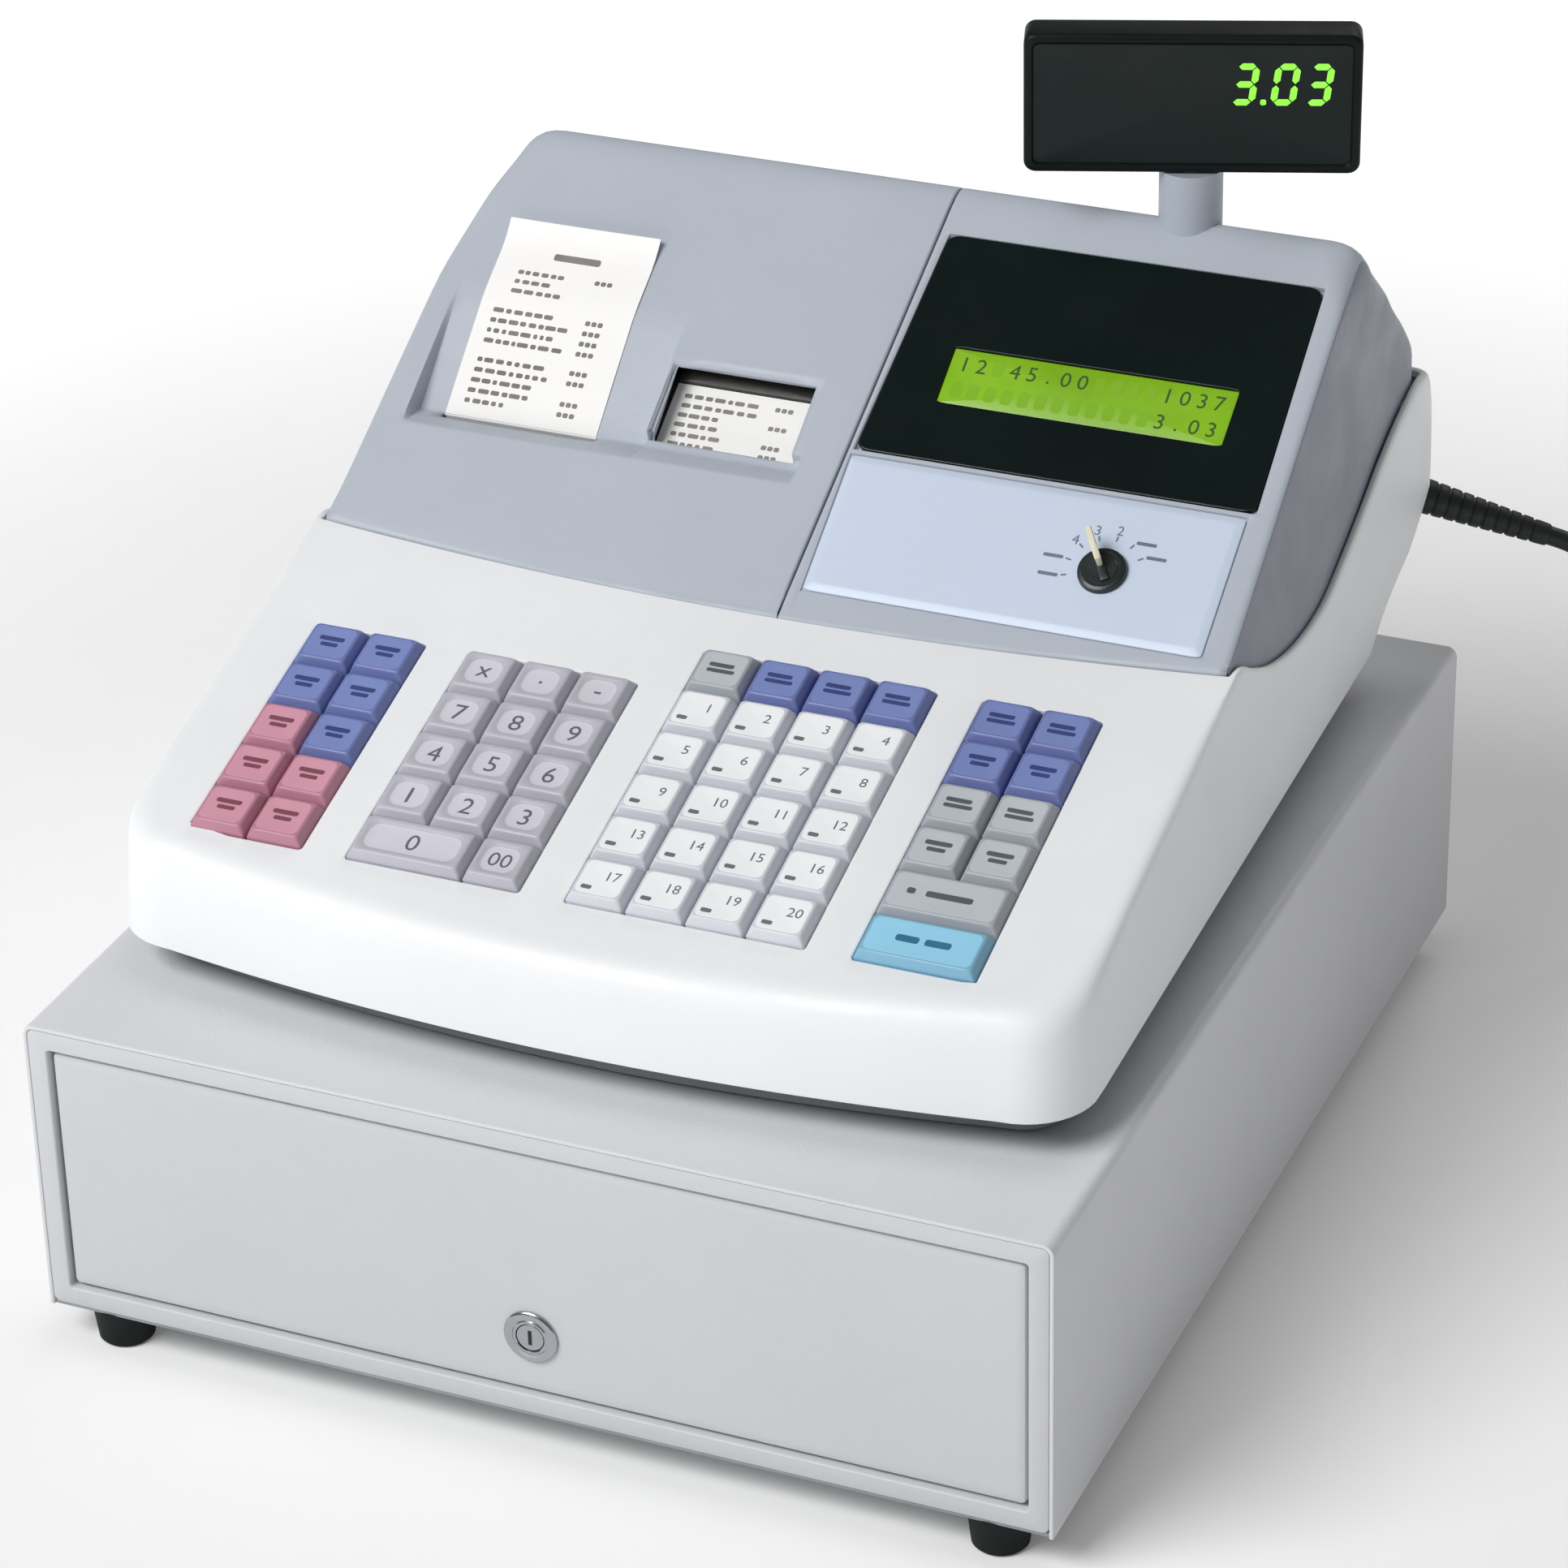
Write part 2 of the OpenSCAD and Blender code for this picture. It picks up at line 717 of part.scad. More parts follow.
module mode_key() {
    on_face() translate([mode_at[0], mode_at[1], 0]) {
        color("#1a2420") {
            translate([0, 0, -12]) cylinder(h = 15, r = mode_r);
            translate([0, 0, -6]) cylinder(h = 2, r = mode_r + 2);
            rotate([0, 0, 32]) block([-1.6, -7.6, 2.9], [1.6, 7.6, 4]);
        }
        color("#e9e2c8") rotate([0, 0, 32]) block([-1.1, 0.5, 3.5], [1.1, 13, 11]);
    }
}

// --- Printer -------------------------------------------------------------

// Carries an outline drawn up the face (first axis) and out of it, across from x0 to x1
module carry_face(x0, x1) {
    on_face() translate([x0, 0, 0]) rotate([90, 0, 90]) linear_extrude(x1 - x0) children();
}

// Floor of the receipt's recess: it rises from the slot to the face
function recess_n(s) = (s - 50) * (recess_deep + 0.5) / (recess_end - 50) - recess_deep;

module cover_cuts() {
    carry_face(recess_x[0], recess_x[1])
        polygon([[40, 0.5], [50, -recess_deep], [recess_end, 0.5]]);
    carry_face(recess_x[1] - 1, journal_x[1] + 3)
        polygon([[40, 0.5], [48, -4], [52, -4], [52, 0.5]]);
    // Exit slot of the receipt and window of the journal
    on_face() {
        block([-140.5, 47.2, -14], [-80.5, 50, 0]);
        block([journal_x[0], 51, -14], [journal_x[1], 80.5, 2]);
    }
}

module printer_cover() {
    color("#bbc2cb") difference() {
        union() {
            difference() {
                housing_solid(0);
                housing_solid(wall);
            }
            intersection() {
                housing_solid(0);
                union() {
                    carry_face(recess_x[0] - wall, recess_x[1] + 0.9) polygon([[37, 0],
                        [37, -4], [46, -9.5], [54, -9.5], [99, -2.6], [99, 0]]);
                    carry_face(recess_x[1], journal_x[1] + 5)
                        polygon([[37, 0], [37, -4], [44, -6], [84, -6], [90, -2.4], [90, 0]]);
                }
            }
            bar_x(-138, 17, hinge_y, hinge_z, hinge_r);
        }
        // Right of the seam and behind the hinge
        difference() {
            block([-250, -90, 140], [250, 250, 400]);
            left_of_seam(0.6, hinge_y + 1);
            bar_x(-138, 17, hinge_y, hinge_z, hinge_r + eps);
        }
        cover_cuts();
        bar_x(-141, 20, hinge_y, hinge_z, hinge_pin_r + shaft_gap);
        for (x = knuckles) {
            bar_x(x - 0.5, x + 12.5, hinge_y, hinge_z, hinge_r + 0.6);
            block([x - 0.5, hinge_y - 2, hinge_z - 12], [x + 12.5, hinge_y + 20, hinge_z + 20]);
        }
    }
}

// One cheek of the printer's frame. Those beside the journal carry its backing plate.
module cheek(x0, tab) {
    carry_x(x0, x0 + 2) polygon([[-4, 200], [150, 200], [150, 262], [112, 262], [103, 252],
        [94, 262], [70, 238], [40, 234], [30, 231], [12, 231], [8, 222], [-4, 222]]);
    if (tab) carry_face(x0, x0 + 2) polygon([[55, -28], [75, -28], [75, -11], [55, -11]]);
}

module printer_frame() {
    color("#4a4e53") {
        difference() {
            union() {
                block([plate_x[0], -4, 200], [plate_x[2] + 2, 150, 202]);
                cheek(plate_x[0], false);
                cheek(plate_x[1], true);
                cheek(plate_x[2], true);
            }
            bar_x(plate_x[0] - 1, plate_x[2] + 3, platen[0], platen[1], 3 + shaft_gap);
            bar_x(plate_x[1] - 1, plate_x[2] + 3, spool[0], spool[1], 3 + shaft_gap);
        }
        for (x = [-136, -5], y = [0, 144])
            translate([x, y, cab_z1 + 5.5]) cylinder(h = 195 - cab_z1 + eps, r = 4);
        // Print head in front of the platen
        block([-146, -2, 201], [-2, 12, 222]);
        // Spindles that the paper rolls turn on
        bar_x(-148.5, -71, roll[0], roll[1], 5.5);
        bar_x(-71, 0.5, roll[0], roll[1], 5.5);
        // Backing plate of the journal
        on_face() block([-71, 50, -11.9], [1, 82, -10.5]);
    }
}

module platen_roller() {
    color("#c6c9cc") bar_x(-153, 4, platen[0], platen[1], 3);
    color("#2a2c2e") for (s = [receipt_span, journal_span])
        bar_x(s[0], s[1], platen[0], platen[1], platen[2]);
}

module paper_roll(s) {
    color("#f4f4f0") difference() {
        bar_x(s[0], s[1], roll[0], roll[1], roll[2]);
        bar_x(s[0] - 1, s[1] + 1, roll[0], roll[1], 5.5 + shaft_gap);
    }
}

module receipt_roll() {
    paper_roll(receipt_span);
}

module journal_roll() {
    paper_roll(journal_span);
}

module takeup_spool() {
    color("#d5d2c8") {
        bar_x(plate_x[1] - 1, 4, spool[0], spool[1], 3);
        bar_x(-62, -7, spool[0], spool[1], spool[2] - 2);
        for (x = [-65, -7]) bar_x(x, x + 2.5, spool[0], spool[1], spool[2]);
    }
}

// The receipt lies in its recess and on the printer cover, and dips into the slot
module receipt_paper() {
    bend = 50 + (recess_end - 50) * recess_deep / (recess_deep + 0.5);
    end = 127;
    t = 0.4;
    color("#f7f7f5") carry_face(-139.5, -81.5) polygon([[49.1, -12], [49.5, -12],
        [50, recess_n(50)], [bend, 0], [end, 0], [end, t], [bend, t],
        [49.7, recess_n(50) + t]]);
}

module journal_paper() {
    color("#f4f2ee") on_face() block([-61, 46, -10.5], [-5.5, 86, -10.1]);
}

// --- Customer display ----------------------------------------------------

module popup_pole() {
    color("#949ba6") translate([pole_at[0], pole_at[1], 0]) {
        translate([0, 0, 244]) cylinder(h = pole_top - 244, r = pole_r);
        translate([0, 0, pole_top - eps]) cylinder(h = 14, r = pivot_r);
    }
}

module in_head() {
    translate([pole_at[0], pole_at[1], pole_top + 0.4]) rotate([0, 0, head_turn]) children();
}

// A rounded slab: w wide, h high, t thick, with its corners rounded in the front view
module slab(w, h, t, r) {
    translate([0, t / 2, 0]) rotate([90, 0, 0]) linear_extrude(t) {
        translate([-w / 2 + r, 0]) square([w - 2 * r, h]);
        translate([-w / 2, r]) square([w, h - 2 * r]);
        for (sx = [-1, 1], z = [r, h - r]) translate([sx * (w / 2 - r), z]) circle(r = r);
    }
}

module popup_head() {
    color("#20292b") in_head() difference() {
        slab(head_w, head_h, head_t, 3);
        translate([0, -head_t / 2 + 0.6, 3]) slab(head_w - 6, head_h - 6, 1.4, 2);
        translate([0, 0, -1]) cylinder(h = 15.6, r = pivot_r + shaft_gap);
    }
}

module popup_window() {
    color("#122020") in_head() translate([0, -head_t / 2 + 0.75, 3.1])
        slab(head_w - 6.2, head_h - 6.2, 1.1, 2);
}

// --- Keys ----------------------------------------------------------------

// A key cap with sloping sides, cols columns wide, at column i and row j of a block.
// Rows are counted from the front.
module key(x, i, j, cols = 1) {
    lx = cols * key_px - key_gap;
    ly = key_py - key_gap;
    t = 1.7;
    translate([x + i * key_px + key_gap / 2, block_v + j * key_py + key_gap / 2, 0]) {
        polyhedron([[0, 0, 0], [lx, 0, 0], [lx, ly, 0], [0, ly, 0],
            [t, t, key_top], [lx - t, t, key_top], [lx - t, ly - t, key_top], [t, ly - t, key_top]],
            [[0, 1, 2, 3], [4, 7, 6, 5], [0, 4, 5, 1], [1, 5, 6, 2], [2, 6, 7, 3], [3, 7, 4, 0]]);
        translate([0, 0, -4]) cube([lx, ly, 4]);
        for (c = [0 : cols - 1])
            translate([(c + 0.5) * key_px - key_gap / 2, ly / 2, -9]) cube([5, 5, 10.5], center = true);
    }
}

module keys_blue() {
    color("#6f7fb4") on_keyboard() {
        for (i = [0, 1], j = [3, 4]) key(block_a, i, j);
        key(block_a, 1, 2);
    }
}

module keys_pink() {
    color("#dd97ad") on_keyboard() {
        for (i = [0, 1], j = [0, 1]) key(block_a, i, j);
        key(block_a, 0, 2);
    }
}

module number_column(i, low) {
    color("#cdccd6") on_keyboard() for (j = [low : 4]) key(block_b, i, j);
}

module keys_number_1() {
    number_column(0, 1);
}

module keys_number_2() {
    number_column(1, 1);
}

module keys_number_3() {
    number_column(2, 0);
}

module key_zero() {
    color("#cdccd6") on_keyboard() key(block_b, 0, 0, 2);
}

module keys_function() {
    color("#7480bd") on_keyboard() for (i = [0 : 3]) key(block_c, i, 5);
}

module item_column(i) {
    color("#e6e9ee") on_keyboard() for (j = [0 : 4]) key(block_c, i, j);
}

module keys_item_1() {
    item_column(0);
}

module keys_item_2() {
    item_column(1);
}

module keys_item_3() {
    item_column(2);
}

module keys_item_4() {
    item_column(3);
}

module keys_tender_blue() {
    color("#7480bd") on_keyboard() for (i = [0, 1], j = [4, 5]) key(block_d, i, j);
}

module keys_tender_grey() {
    color("#bfc3c9") on_keyboard() for (i = [0, 1], j = [2, 3]) key(block_d, i, j);
}

module key_subtotal() {
    color("#bfc3c9") on_keyboard() key(block_d, 0, 1, 2);
}

module key_total() {
    color("#6fbfe0") on_keyboard() key(block_d, 0, 0, 2);
}

// --- Lead ----------------------------------------------------------------

module strain_relief() {
    color("#15201e") gland() difference() {
        union() {
            translate([0, 0, -13]) cylinder(h = 14, r = 6.5);
            rotate_extrude() polygon([[0, 0], [6.5, 0], [6.5, 2], [8, 2], [8, 5], [6.5, 5],
                [6.2, 20], [5.6, 30], [4.9, 40], [4.4, 50], [lead_r + 0.5, relief_len + 10],
                [0, relief_len + 10]]);
        }
        translate([0, 0, -14]) cylinder(h = relief_len + 30, r = lead_r + eps);
    }
}

function unit(v) = v / norm(v);
function along(p, i) = unit(p[min(i + 1, len(p) - 1)] - p[max(i - 1, 0)]);
// A ring of points round each point of the route, square to the route
function ring(p, i, n) = let (d = along(p, i), a = unit(cross(d, [0.3, 1, 0.2])), b = cross(d, a))
    [for (k = [0 : n - 1]) p[i] + lead_r * (cos(360 * k / n) * a + sin(360 * k / n) * b)];

// A tube swept along a route, closed at both ends
module tube(p, n = 10) {
    m = len(p);
    points = [for (i = [0 : m - 1]) each ring(p, i, n)];
    sides = [for (i = [0 : m - 2], k = [0 : n - 1]) let (l = (k + 1) % n)
        [i * n + k, i * n + l, (i + 1) * n + l, (i + 1) * n + k]];
    polyhedron(points, concat(sides, [[for (k = [n - 1 : -1 : 0]) k]],
        [[for (k = [0 : n - 1]) (m - 1) * n + k]]));
}

module power_cord() {
    color("#15201e") {
        tube(lead_route);
        tube(tail_route);
    }
}

module cord_coil() {
    color("#15201e") translate([coil_at[0], coil_at[1], 0]) rotate_extrude()
        translate([coil_r - 1.5 * lead_d, 0]) square([3 * lead_d, 2 * lead_d]);
}

module power_plug() {
    color("#15201e") translate(plug_at) {
        translate([0, 0, -3.8]) rotate([90, 0, 0]) cylinder(h = 12, r1 = 4, r2 = 6);
        block([-12, -44, -9], [12, -11, 9]);
        for (s = [-1, 1]) translate([s * 6.3, -44, 0]) rotate([90, 0, 0]) cylinder(h = 17, r = 2.3);
    }
}

cabinet_shell();
cabinet_base();
front_frame();
rubber_feet();
drawer_runners();
front_rollers();
rear_rollers();
drawer_front();
drawer_body();
latch_striker();
cash_tray();
clip_rod();
bill_clip(0);  // bill_clip_1
bill_clip(1);  // bill_clip_2
bill_clip(2);  // bill_clip_3
bill_clip(3);  // bill_clip_4
lock_barrel();
lock_plug();
latch_lever();
release_solenoid();
lower_case();
upper_case();
key_plate();
main_board();
transformer();
top_housing();
display_window();
lcd_panel();
mode_panel();
mode_key();
printer_cover();
printer_frame();
platen_roller();
receipt_roll();
journal_roll();
takeup_spool();
receipt_paper();
journal_paper();
popup_pole();
popup_head();
popup_window();
keys_blue();
keys_pink();
keys_number_1();
keys_number_2();
keys_number_3();
key_zero();
keys_function();
keys_item_1();
keys_item_2();
keys_item_3();
keys_item_4();
keys_tender_blue();
keys_tender_grey();
key_subtotal();
key_total();
strain_relief();
power_cord();
cord_coil();
power_plug();
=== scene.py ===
"""Electronic cash register on its cash drawer: detailed pieces, finishes and a studio stage.

Every shape is worked out in millimetres in the register's own frame: X to the right, Y to the
back, Z up, with the origin on the floor.
"""
import math

import bmesh
import bpy
import numpy as np
from bpy.props import FloatProperty, FloatVectorProperty, PointerProperty
from mathutils import Matrix, Vector
from mathutils.geometry import delaunay_2d_cdt


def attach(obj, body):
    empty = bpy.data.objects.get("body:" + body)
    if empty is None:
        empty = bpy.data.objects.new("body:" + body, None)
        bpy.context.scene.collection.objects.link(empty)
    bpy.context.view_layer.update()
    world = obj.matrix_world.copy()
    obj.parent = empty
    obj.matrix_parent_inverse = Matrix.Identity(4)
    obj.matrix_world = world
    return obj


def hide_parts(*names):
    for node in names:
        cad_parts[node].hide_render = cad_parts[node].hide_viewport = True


bl_info = {
    "name": "Cash register",
    "version": (1, 0, 0),
    "blender": (4, 5, 0),
    "location": "3D View > Sidebar > Register",
    "description": "Builds the pieces, finishes and stage of a cash register on its drawer",
    "category": "Object",
}

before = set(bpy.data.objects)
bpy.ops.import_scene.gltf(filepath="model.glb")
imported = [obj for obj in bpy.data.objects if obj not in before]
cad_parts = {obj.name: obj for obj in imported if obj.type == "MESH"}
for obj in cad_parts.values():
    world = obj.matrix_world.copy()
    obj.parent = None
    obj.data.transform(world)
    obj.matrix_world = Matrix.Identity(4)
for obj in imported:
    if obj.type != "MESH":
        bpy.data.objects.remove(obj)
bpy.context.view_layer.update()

MM = 0.001
# The keyboard and the housing's face: their slope, and the depth and height where each starts
KEY_SLOPE, KEY_ORIGIN = math.radians(16.5), (-161.0, 176.0)
FACE_SLOPE, FACE_ORIGIN = math.radians(33.4), (-15.0, 221.0)
# Wall of the moulded shells
WALL = 2.5
# White case: height of its foot and the most that its edge rises to
CASE_FOOT, CASE_CROWN = 138.0, 237.0
# Seam between keyboard and housing: its bow and half width, and the depth of its ends and
# of its middle
SEAM_BOW, SEAM_HALF, SEAM_END_Y, SEAM_MIDDLE_Y = 9.0, 166.5, -16.5, -25.5
# Housing's front wall: its depth in the middle at a height, its lean forward for each
# millimetre up, and the height of its upper edge with what the bow adds to it
FRONT_Y, FRONT_Z, FRONT_LEAN = -24.0, 215.0, 0.36
FRONT_TOP, FRONT_TOP_RISE = 215.06, 0.533
# Housing's sides: half width at a height, the lean inward of the printer's side and of the
# displays' side, what the printer's side adds above its shoulder, and the depth where the
# rear corners start with their radius
HALF_WIDTH, HALF_WIDTH_Z = 165.8, 194.0
SIDE_LEAN = {-1: 0.0708, 1: 0.018}
SHOULDER_LEAN, SHOULDER_Z, SHOULDER_ROUND = 0.125, 277.0, 3.0
REAR_CORNER_Y, REAR_CORNER_R = 181.0, 14.0
# Printer cover, across and up the face: the receipt's recess, deepest at its slot, the slot,
# the ramp before the journal's window, and the window
RECESS_X, RECESS_S = (-150.0, -62.0), (50.0, 99.0)
SLOT_X, SLOT_S = (-140.5, -80.5), (47.2, 50.0)
RAMP_X, RAMP_S = (-63.0, -4.0), (48.0, 51.9)
WINDOW_X, WINDOW_S = (-61.0, -7.0), (51.0, 80.5)
# Keys: pitch across and up, how far up the slope the blocks start, and each block's left edge
# and its columns and rows
KEY_PX, KEY_PY, BLOCK_FOOT = 20.9, 20.0, 1.0
BLOCK_LEFT = {"a": -143.8, "b": -86.3, "c": -7.9, "d": 91.4}
BLOCK_SIZE = {"a": (2, 5), "b": (3, 5), "c": (4, 6), "d": (2, 6)}
# Printer cover's hinge: depth and height of its axis, its radius, and its knuckles' left
# edges and length
HINGE, HINGE_R = (159.0, 276.5), 5.0
KNUCKLES, KNUCKLE = (-100.0, -50.0), 12.0
# Customer display: place of its pole, height of its foot and its turn to the customer
POLE, HEAD_BASE, HEAD_TURN = (100.0, 130.0), 331.4, math.radians(19)
# Mode switch: its place across and up the face, and its turn
MODE_AT, MODE_TURN = (113.5, 27.0), math.radians(32)
# Cabinet: half width, top and foot of its sheet, depths of its front and back edges, and
# height of its lock
CABINET_HALF, CABINET_TOP, CABINET_FOOT = 180.0, 124.0, 14.0
CABINET_FRONT, CABINET_BACK, LOCK_Z = -215.0, 205.0, 45.0


# --- Shared surface tools ----------------------------------------------------

def grid_quads(rows, cols, close_rows=False, close_cols=False):
    """Quads of a grid whose points are counted row by row; a closed direction wraps round."""
    i = np.arange(rows if close_rows else rows - 1)[:, None]
    j = np.arange(cols if close_cols else cols - 1)[None, :]
    i2, j2 = (i + 1) % rows, (j + 1) % cols
    corners = (i * cols + j, i * cols + j2, i2 * cols + j2, i2 * cols + j)
    return np.stack([np.broadcast_to(c, (i.shape[0], j.shape[1])) for c in corners], -1)


def on_bend(start, corner, end, t):
    """Point at t of the quadratic curve from start to end, tangent to both lines through
    corner."""
    return (1 - t) ** 2 * start + 2 * t * (1 - t) * corner + t ** 2 * end


def bend(start, corner, end, steps):
    """Even steps along the quadratic curve of on_bend, ends included."""
    t = np.linspace(0, 1, steps + 1).reshape((-1,) + (1,) * np.ndim(start))
    return on_bend(start, corner, end, t)


def smooth_curve(knots, t, first_slope=None):
    """Height at t of a curve through the knots: cubic pieces with central-difference slopes."""
    x, y = np.asarray(knots, float).T
    slope = np.gradient(y, x)
    if first_slope is not None:
        slope[0] = first_slope
    i = np.clip(np.searchsorted(x, t) - 1, 0, len(x) - 2)
    h = x[i + 1] - x[i]
    u = np.clip((t - x[i]) / h, 0, 1)
    return ((2 * u ** 3 - 3 * u ** 2 + 1) * y[i] + (u ** 3 - 2 * u ** 2 + u) * h * slope[i]
            + (3 * u ** 2 - 2 * u ** 3) * y[i + 1] + (u ** 3 - u ** 2) * h * slope[i + 1])


def ease(t):
    """Smooth step from 0 to 1."""
    t = np.clip(t, 0, 1)
    return t * t * (3 - 2 * t)


def mix(start, end, share):
    """Value a share of the way from start to end."""
    return start + (end - start) * share


def stack(x, y, z):
    """Points from three arrays that broadcast together."""
    return np.stack(np.broadcast_arrays(*(np.asarray(a, float) for a in (x, y, z))), -1)


def on_slope(origin, angle, x, s, n):
    """Points in a sloping plane, across, up the slope and out of it: going up adds the slope's
    cosine to the depth and its sine to the height, and going out turns that by a right angle."""
    c, w = math.cos(angle), math.sin(angle)
    x, s, n = (np.asarray(a, float) for a in (x, s, n))
    return stack(x, origin[0] + s * c - n * w, origin[1] + s * w + n * c)


def on_keyboard(x, s, n):
    """Points in the keyboard's plane."""
    return on_slope(KEY_ORIGIN, KEY_SLOPE, x, s, n)


def on_face(x, s, n):
    """Points in the plane of the housing's face."""
    return on_slope(FACE_ORIGIN, FACE_SLOPE, x, s, n)


def upright(x, z, y):
    """Points of an upright plate: across, up and at a depth."""
    return stack(x, y, z)


def rounded_loop(low, high, radius, steps):
    """Corner-rounded rectangle, counter-clockwise, as X and Y of each point: a quarter of a
    circle about each corner's middle."""
    a = np.linspace(0, math.pi / 2, steps + 1)
    loops = []
    for k, (sx, sy) in enumerate(((1, 1), (-1, 1), (-1, -1), (1, -1))):
        cx = high[0] - radius if sx > 0 else low[0] + radius
        cy = high[1] - radius if sy > 0 else low[1] + radius
        loops.append(np.stack([cx + radius * np.cos(a + k * math.pi / 2),
                               cy + radius * np.sin(a + k * math.pi / 2)], -1))
    return np.concatenate(loops)


def set_at(place, loop, height):
    """A flat loop carried to one height by place."""
    return place(loop[:, 0], loop[:, 1], np.full(len(loop), float(height)))


def ring_stack(place, rings, steps):
    """Rounded rectangles (low, high, radius, height), each carried to its height by place."""
    return np.array([set_at(place, rounded_loop(low, high, radius, steps), height)
                     for low, high, radius, height in rings])


class Form:
    """Collects the surfaces of one piece, each with the number of its finish."""

    def __init__(self):
        self.points, self.faces, self.finish, self.count = [], [], [], 0

    def add(self, points, faces, finish=0):
        """Takes in points and the faces between them."""
        points = np.asarray(points, float).reshape(-1, 3)
        faces = np.asarray(faces, int)
        self.points.append(points)
        self.faces.extend((faces + self.count).tolist())
        self.finish.extend([finish] * len(faces))
        self.count += len(points)

    def grid(self, points, close_rows=False, close_cols=False, keep=None, finish=0):
        """A grid of points [row, column]; keep leaves out the cells that are False."""
        quads = grid_quads(points.shape[0], points.shape[1], close_rows, close_cols)
        self.add(points, quads[keep] if keep is not None else quads.reshape(-1, 4), finish)

    def lid(self, loop, finish=0):
        """Closes a ring of points with a fan round its middle."""
        n = len(loop)
        points = np.concatenate([loop, loop.mean(0, keepdims=True)])
        k = np.arange(n)
        self.add(points, np.stack([k, (k + 1) % n, np.full(n, n)], -1), finish)

    def lathe(self, rows, finish=0):
        """Rings [row, point] closed round and with a lid at each end."""
        self.grid(rows, close_cols=True, finish=finish)
        self.lid(rows[0][::-1], finish)
        self.lid(rows[-1], finish)

    def block(self, low, high, place=stack, radius=0.6, finish=0):
        """A box with rounded upright edges and softened top and bottom edges."""
        low, high = np.asarray(low, float), np.asarray(high, float)
        r = min(radius, (high[:2] - low[:2]).min() * 0.45, (high[2] - low[2]) * 0.45)
        levels = ((r, low[2]), (r * 0.3, low[2] + r * 0.3), (0, low[2] + r),
                  (0, high[2] - r), (r * 0.3, high[2] - r * 0.3), (r, high[2]))
        rings = [(low[:2] + inset, high[:2] - inset, max(r * 1.2 - inset, 0.05), z)
                 for inset, z in levels]
        self.lathe(ring_stack(place, rings, 3), finish)

    def leaf(self, top, low):
        """A thin sheet between two grids [row, column], closed all round."""
        self.grid(np.concatenate([top, low[:, ::-1]], 1), close_cols=True)
        for row in (0, -1):
            self.grid(np.array([top[row], low[row]]))

    def piece(self, name, materials, body, nodes=(), slot=None, smooth=32.0, outward=None,
              thickness=0.0):
        """The finished object: doubles merged, faces turned outward, walls given thickness."""
        mesh = bpy.data.meshes.new(name)
        mesh.from_pydata((np.concatenate(self.points) * MM).tolist(), [], self.faces)
        mesh.polygons.foreach_set("material_index", np.array(self.finish, np.int32))
        bm = bmesh.new()
        bm.from_mesh(mesh)
        bmesh.ops.remove_doubles(bm, verts=bm.verts, dist=0.004 * MM)
        bmesh.ops.dissolve_degenerate(bm, dist=0.001 * MM, edges=bm.edges)
        if outward is None:
            bmesh.ops.recalc_face_normals(bm, faces=bm.faces)
        else:
            facing = sum((f.normal.dot(Vector(outward)) * f.calc_area() for f in bm.faces), 0.0)
            if facing < 0:
                bmesh.ops.reverse_faces(bm, faces=bm.faces)
        bm.to_mesh(mesh)
        bm.free()
        mesh.polygons.foreach_set("use_smooth", np.ones(len(mesh.polygons), bool))
        mesh.set_sharp_from_angle(angle=math.radians(smooth))
        obj = bpy.data.objects.new(name, mesh)
        bpy.context.scene.collection.objects.link(obj)
        for material in materials:
            mesh.materials.append(material)
        if thickness:
            solid = obj.modifiers.new("Wall", "SOLIDIFY")
            solid.thickness = thickness * MM
            solid.offset = -1
        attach(obj, body)
        if nodes:
            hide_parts(*nodes)
        return obj


# --- Finishes ------------------------------------------------------------------

def srgb(text):
    """Linear colour of a hexadecimal one."""
    part = [int(text[i:i + 2], 16) / 255 for i in (0, 2, 4)]
    return tuple(c / 12.92 if c <= 0.04045 else ((c + 0.055) / 1.055) ** 2.4 for c in part)


FINISHES = {}


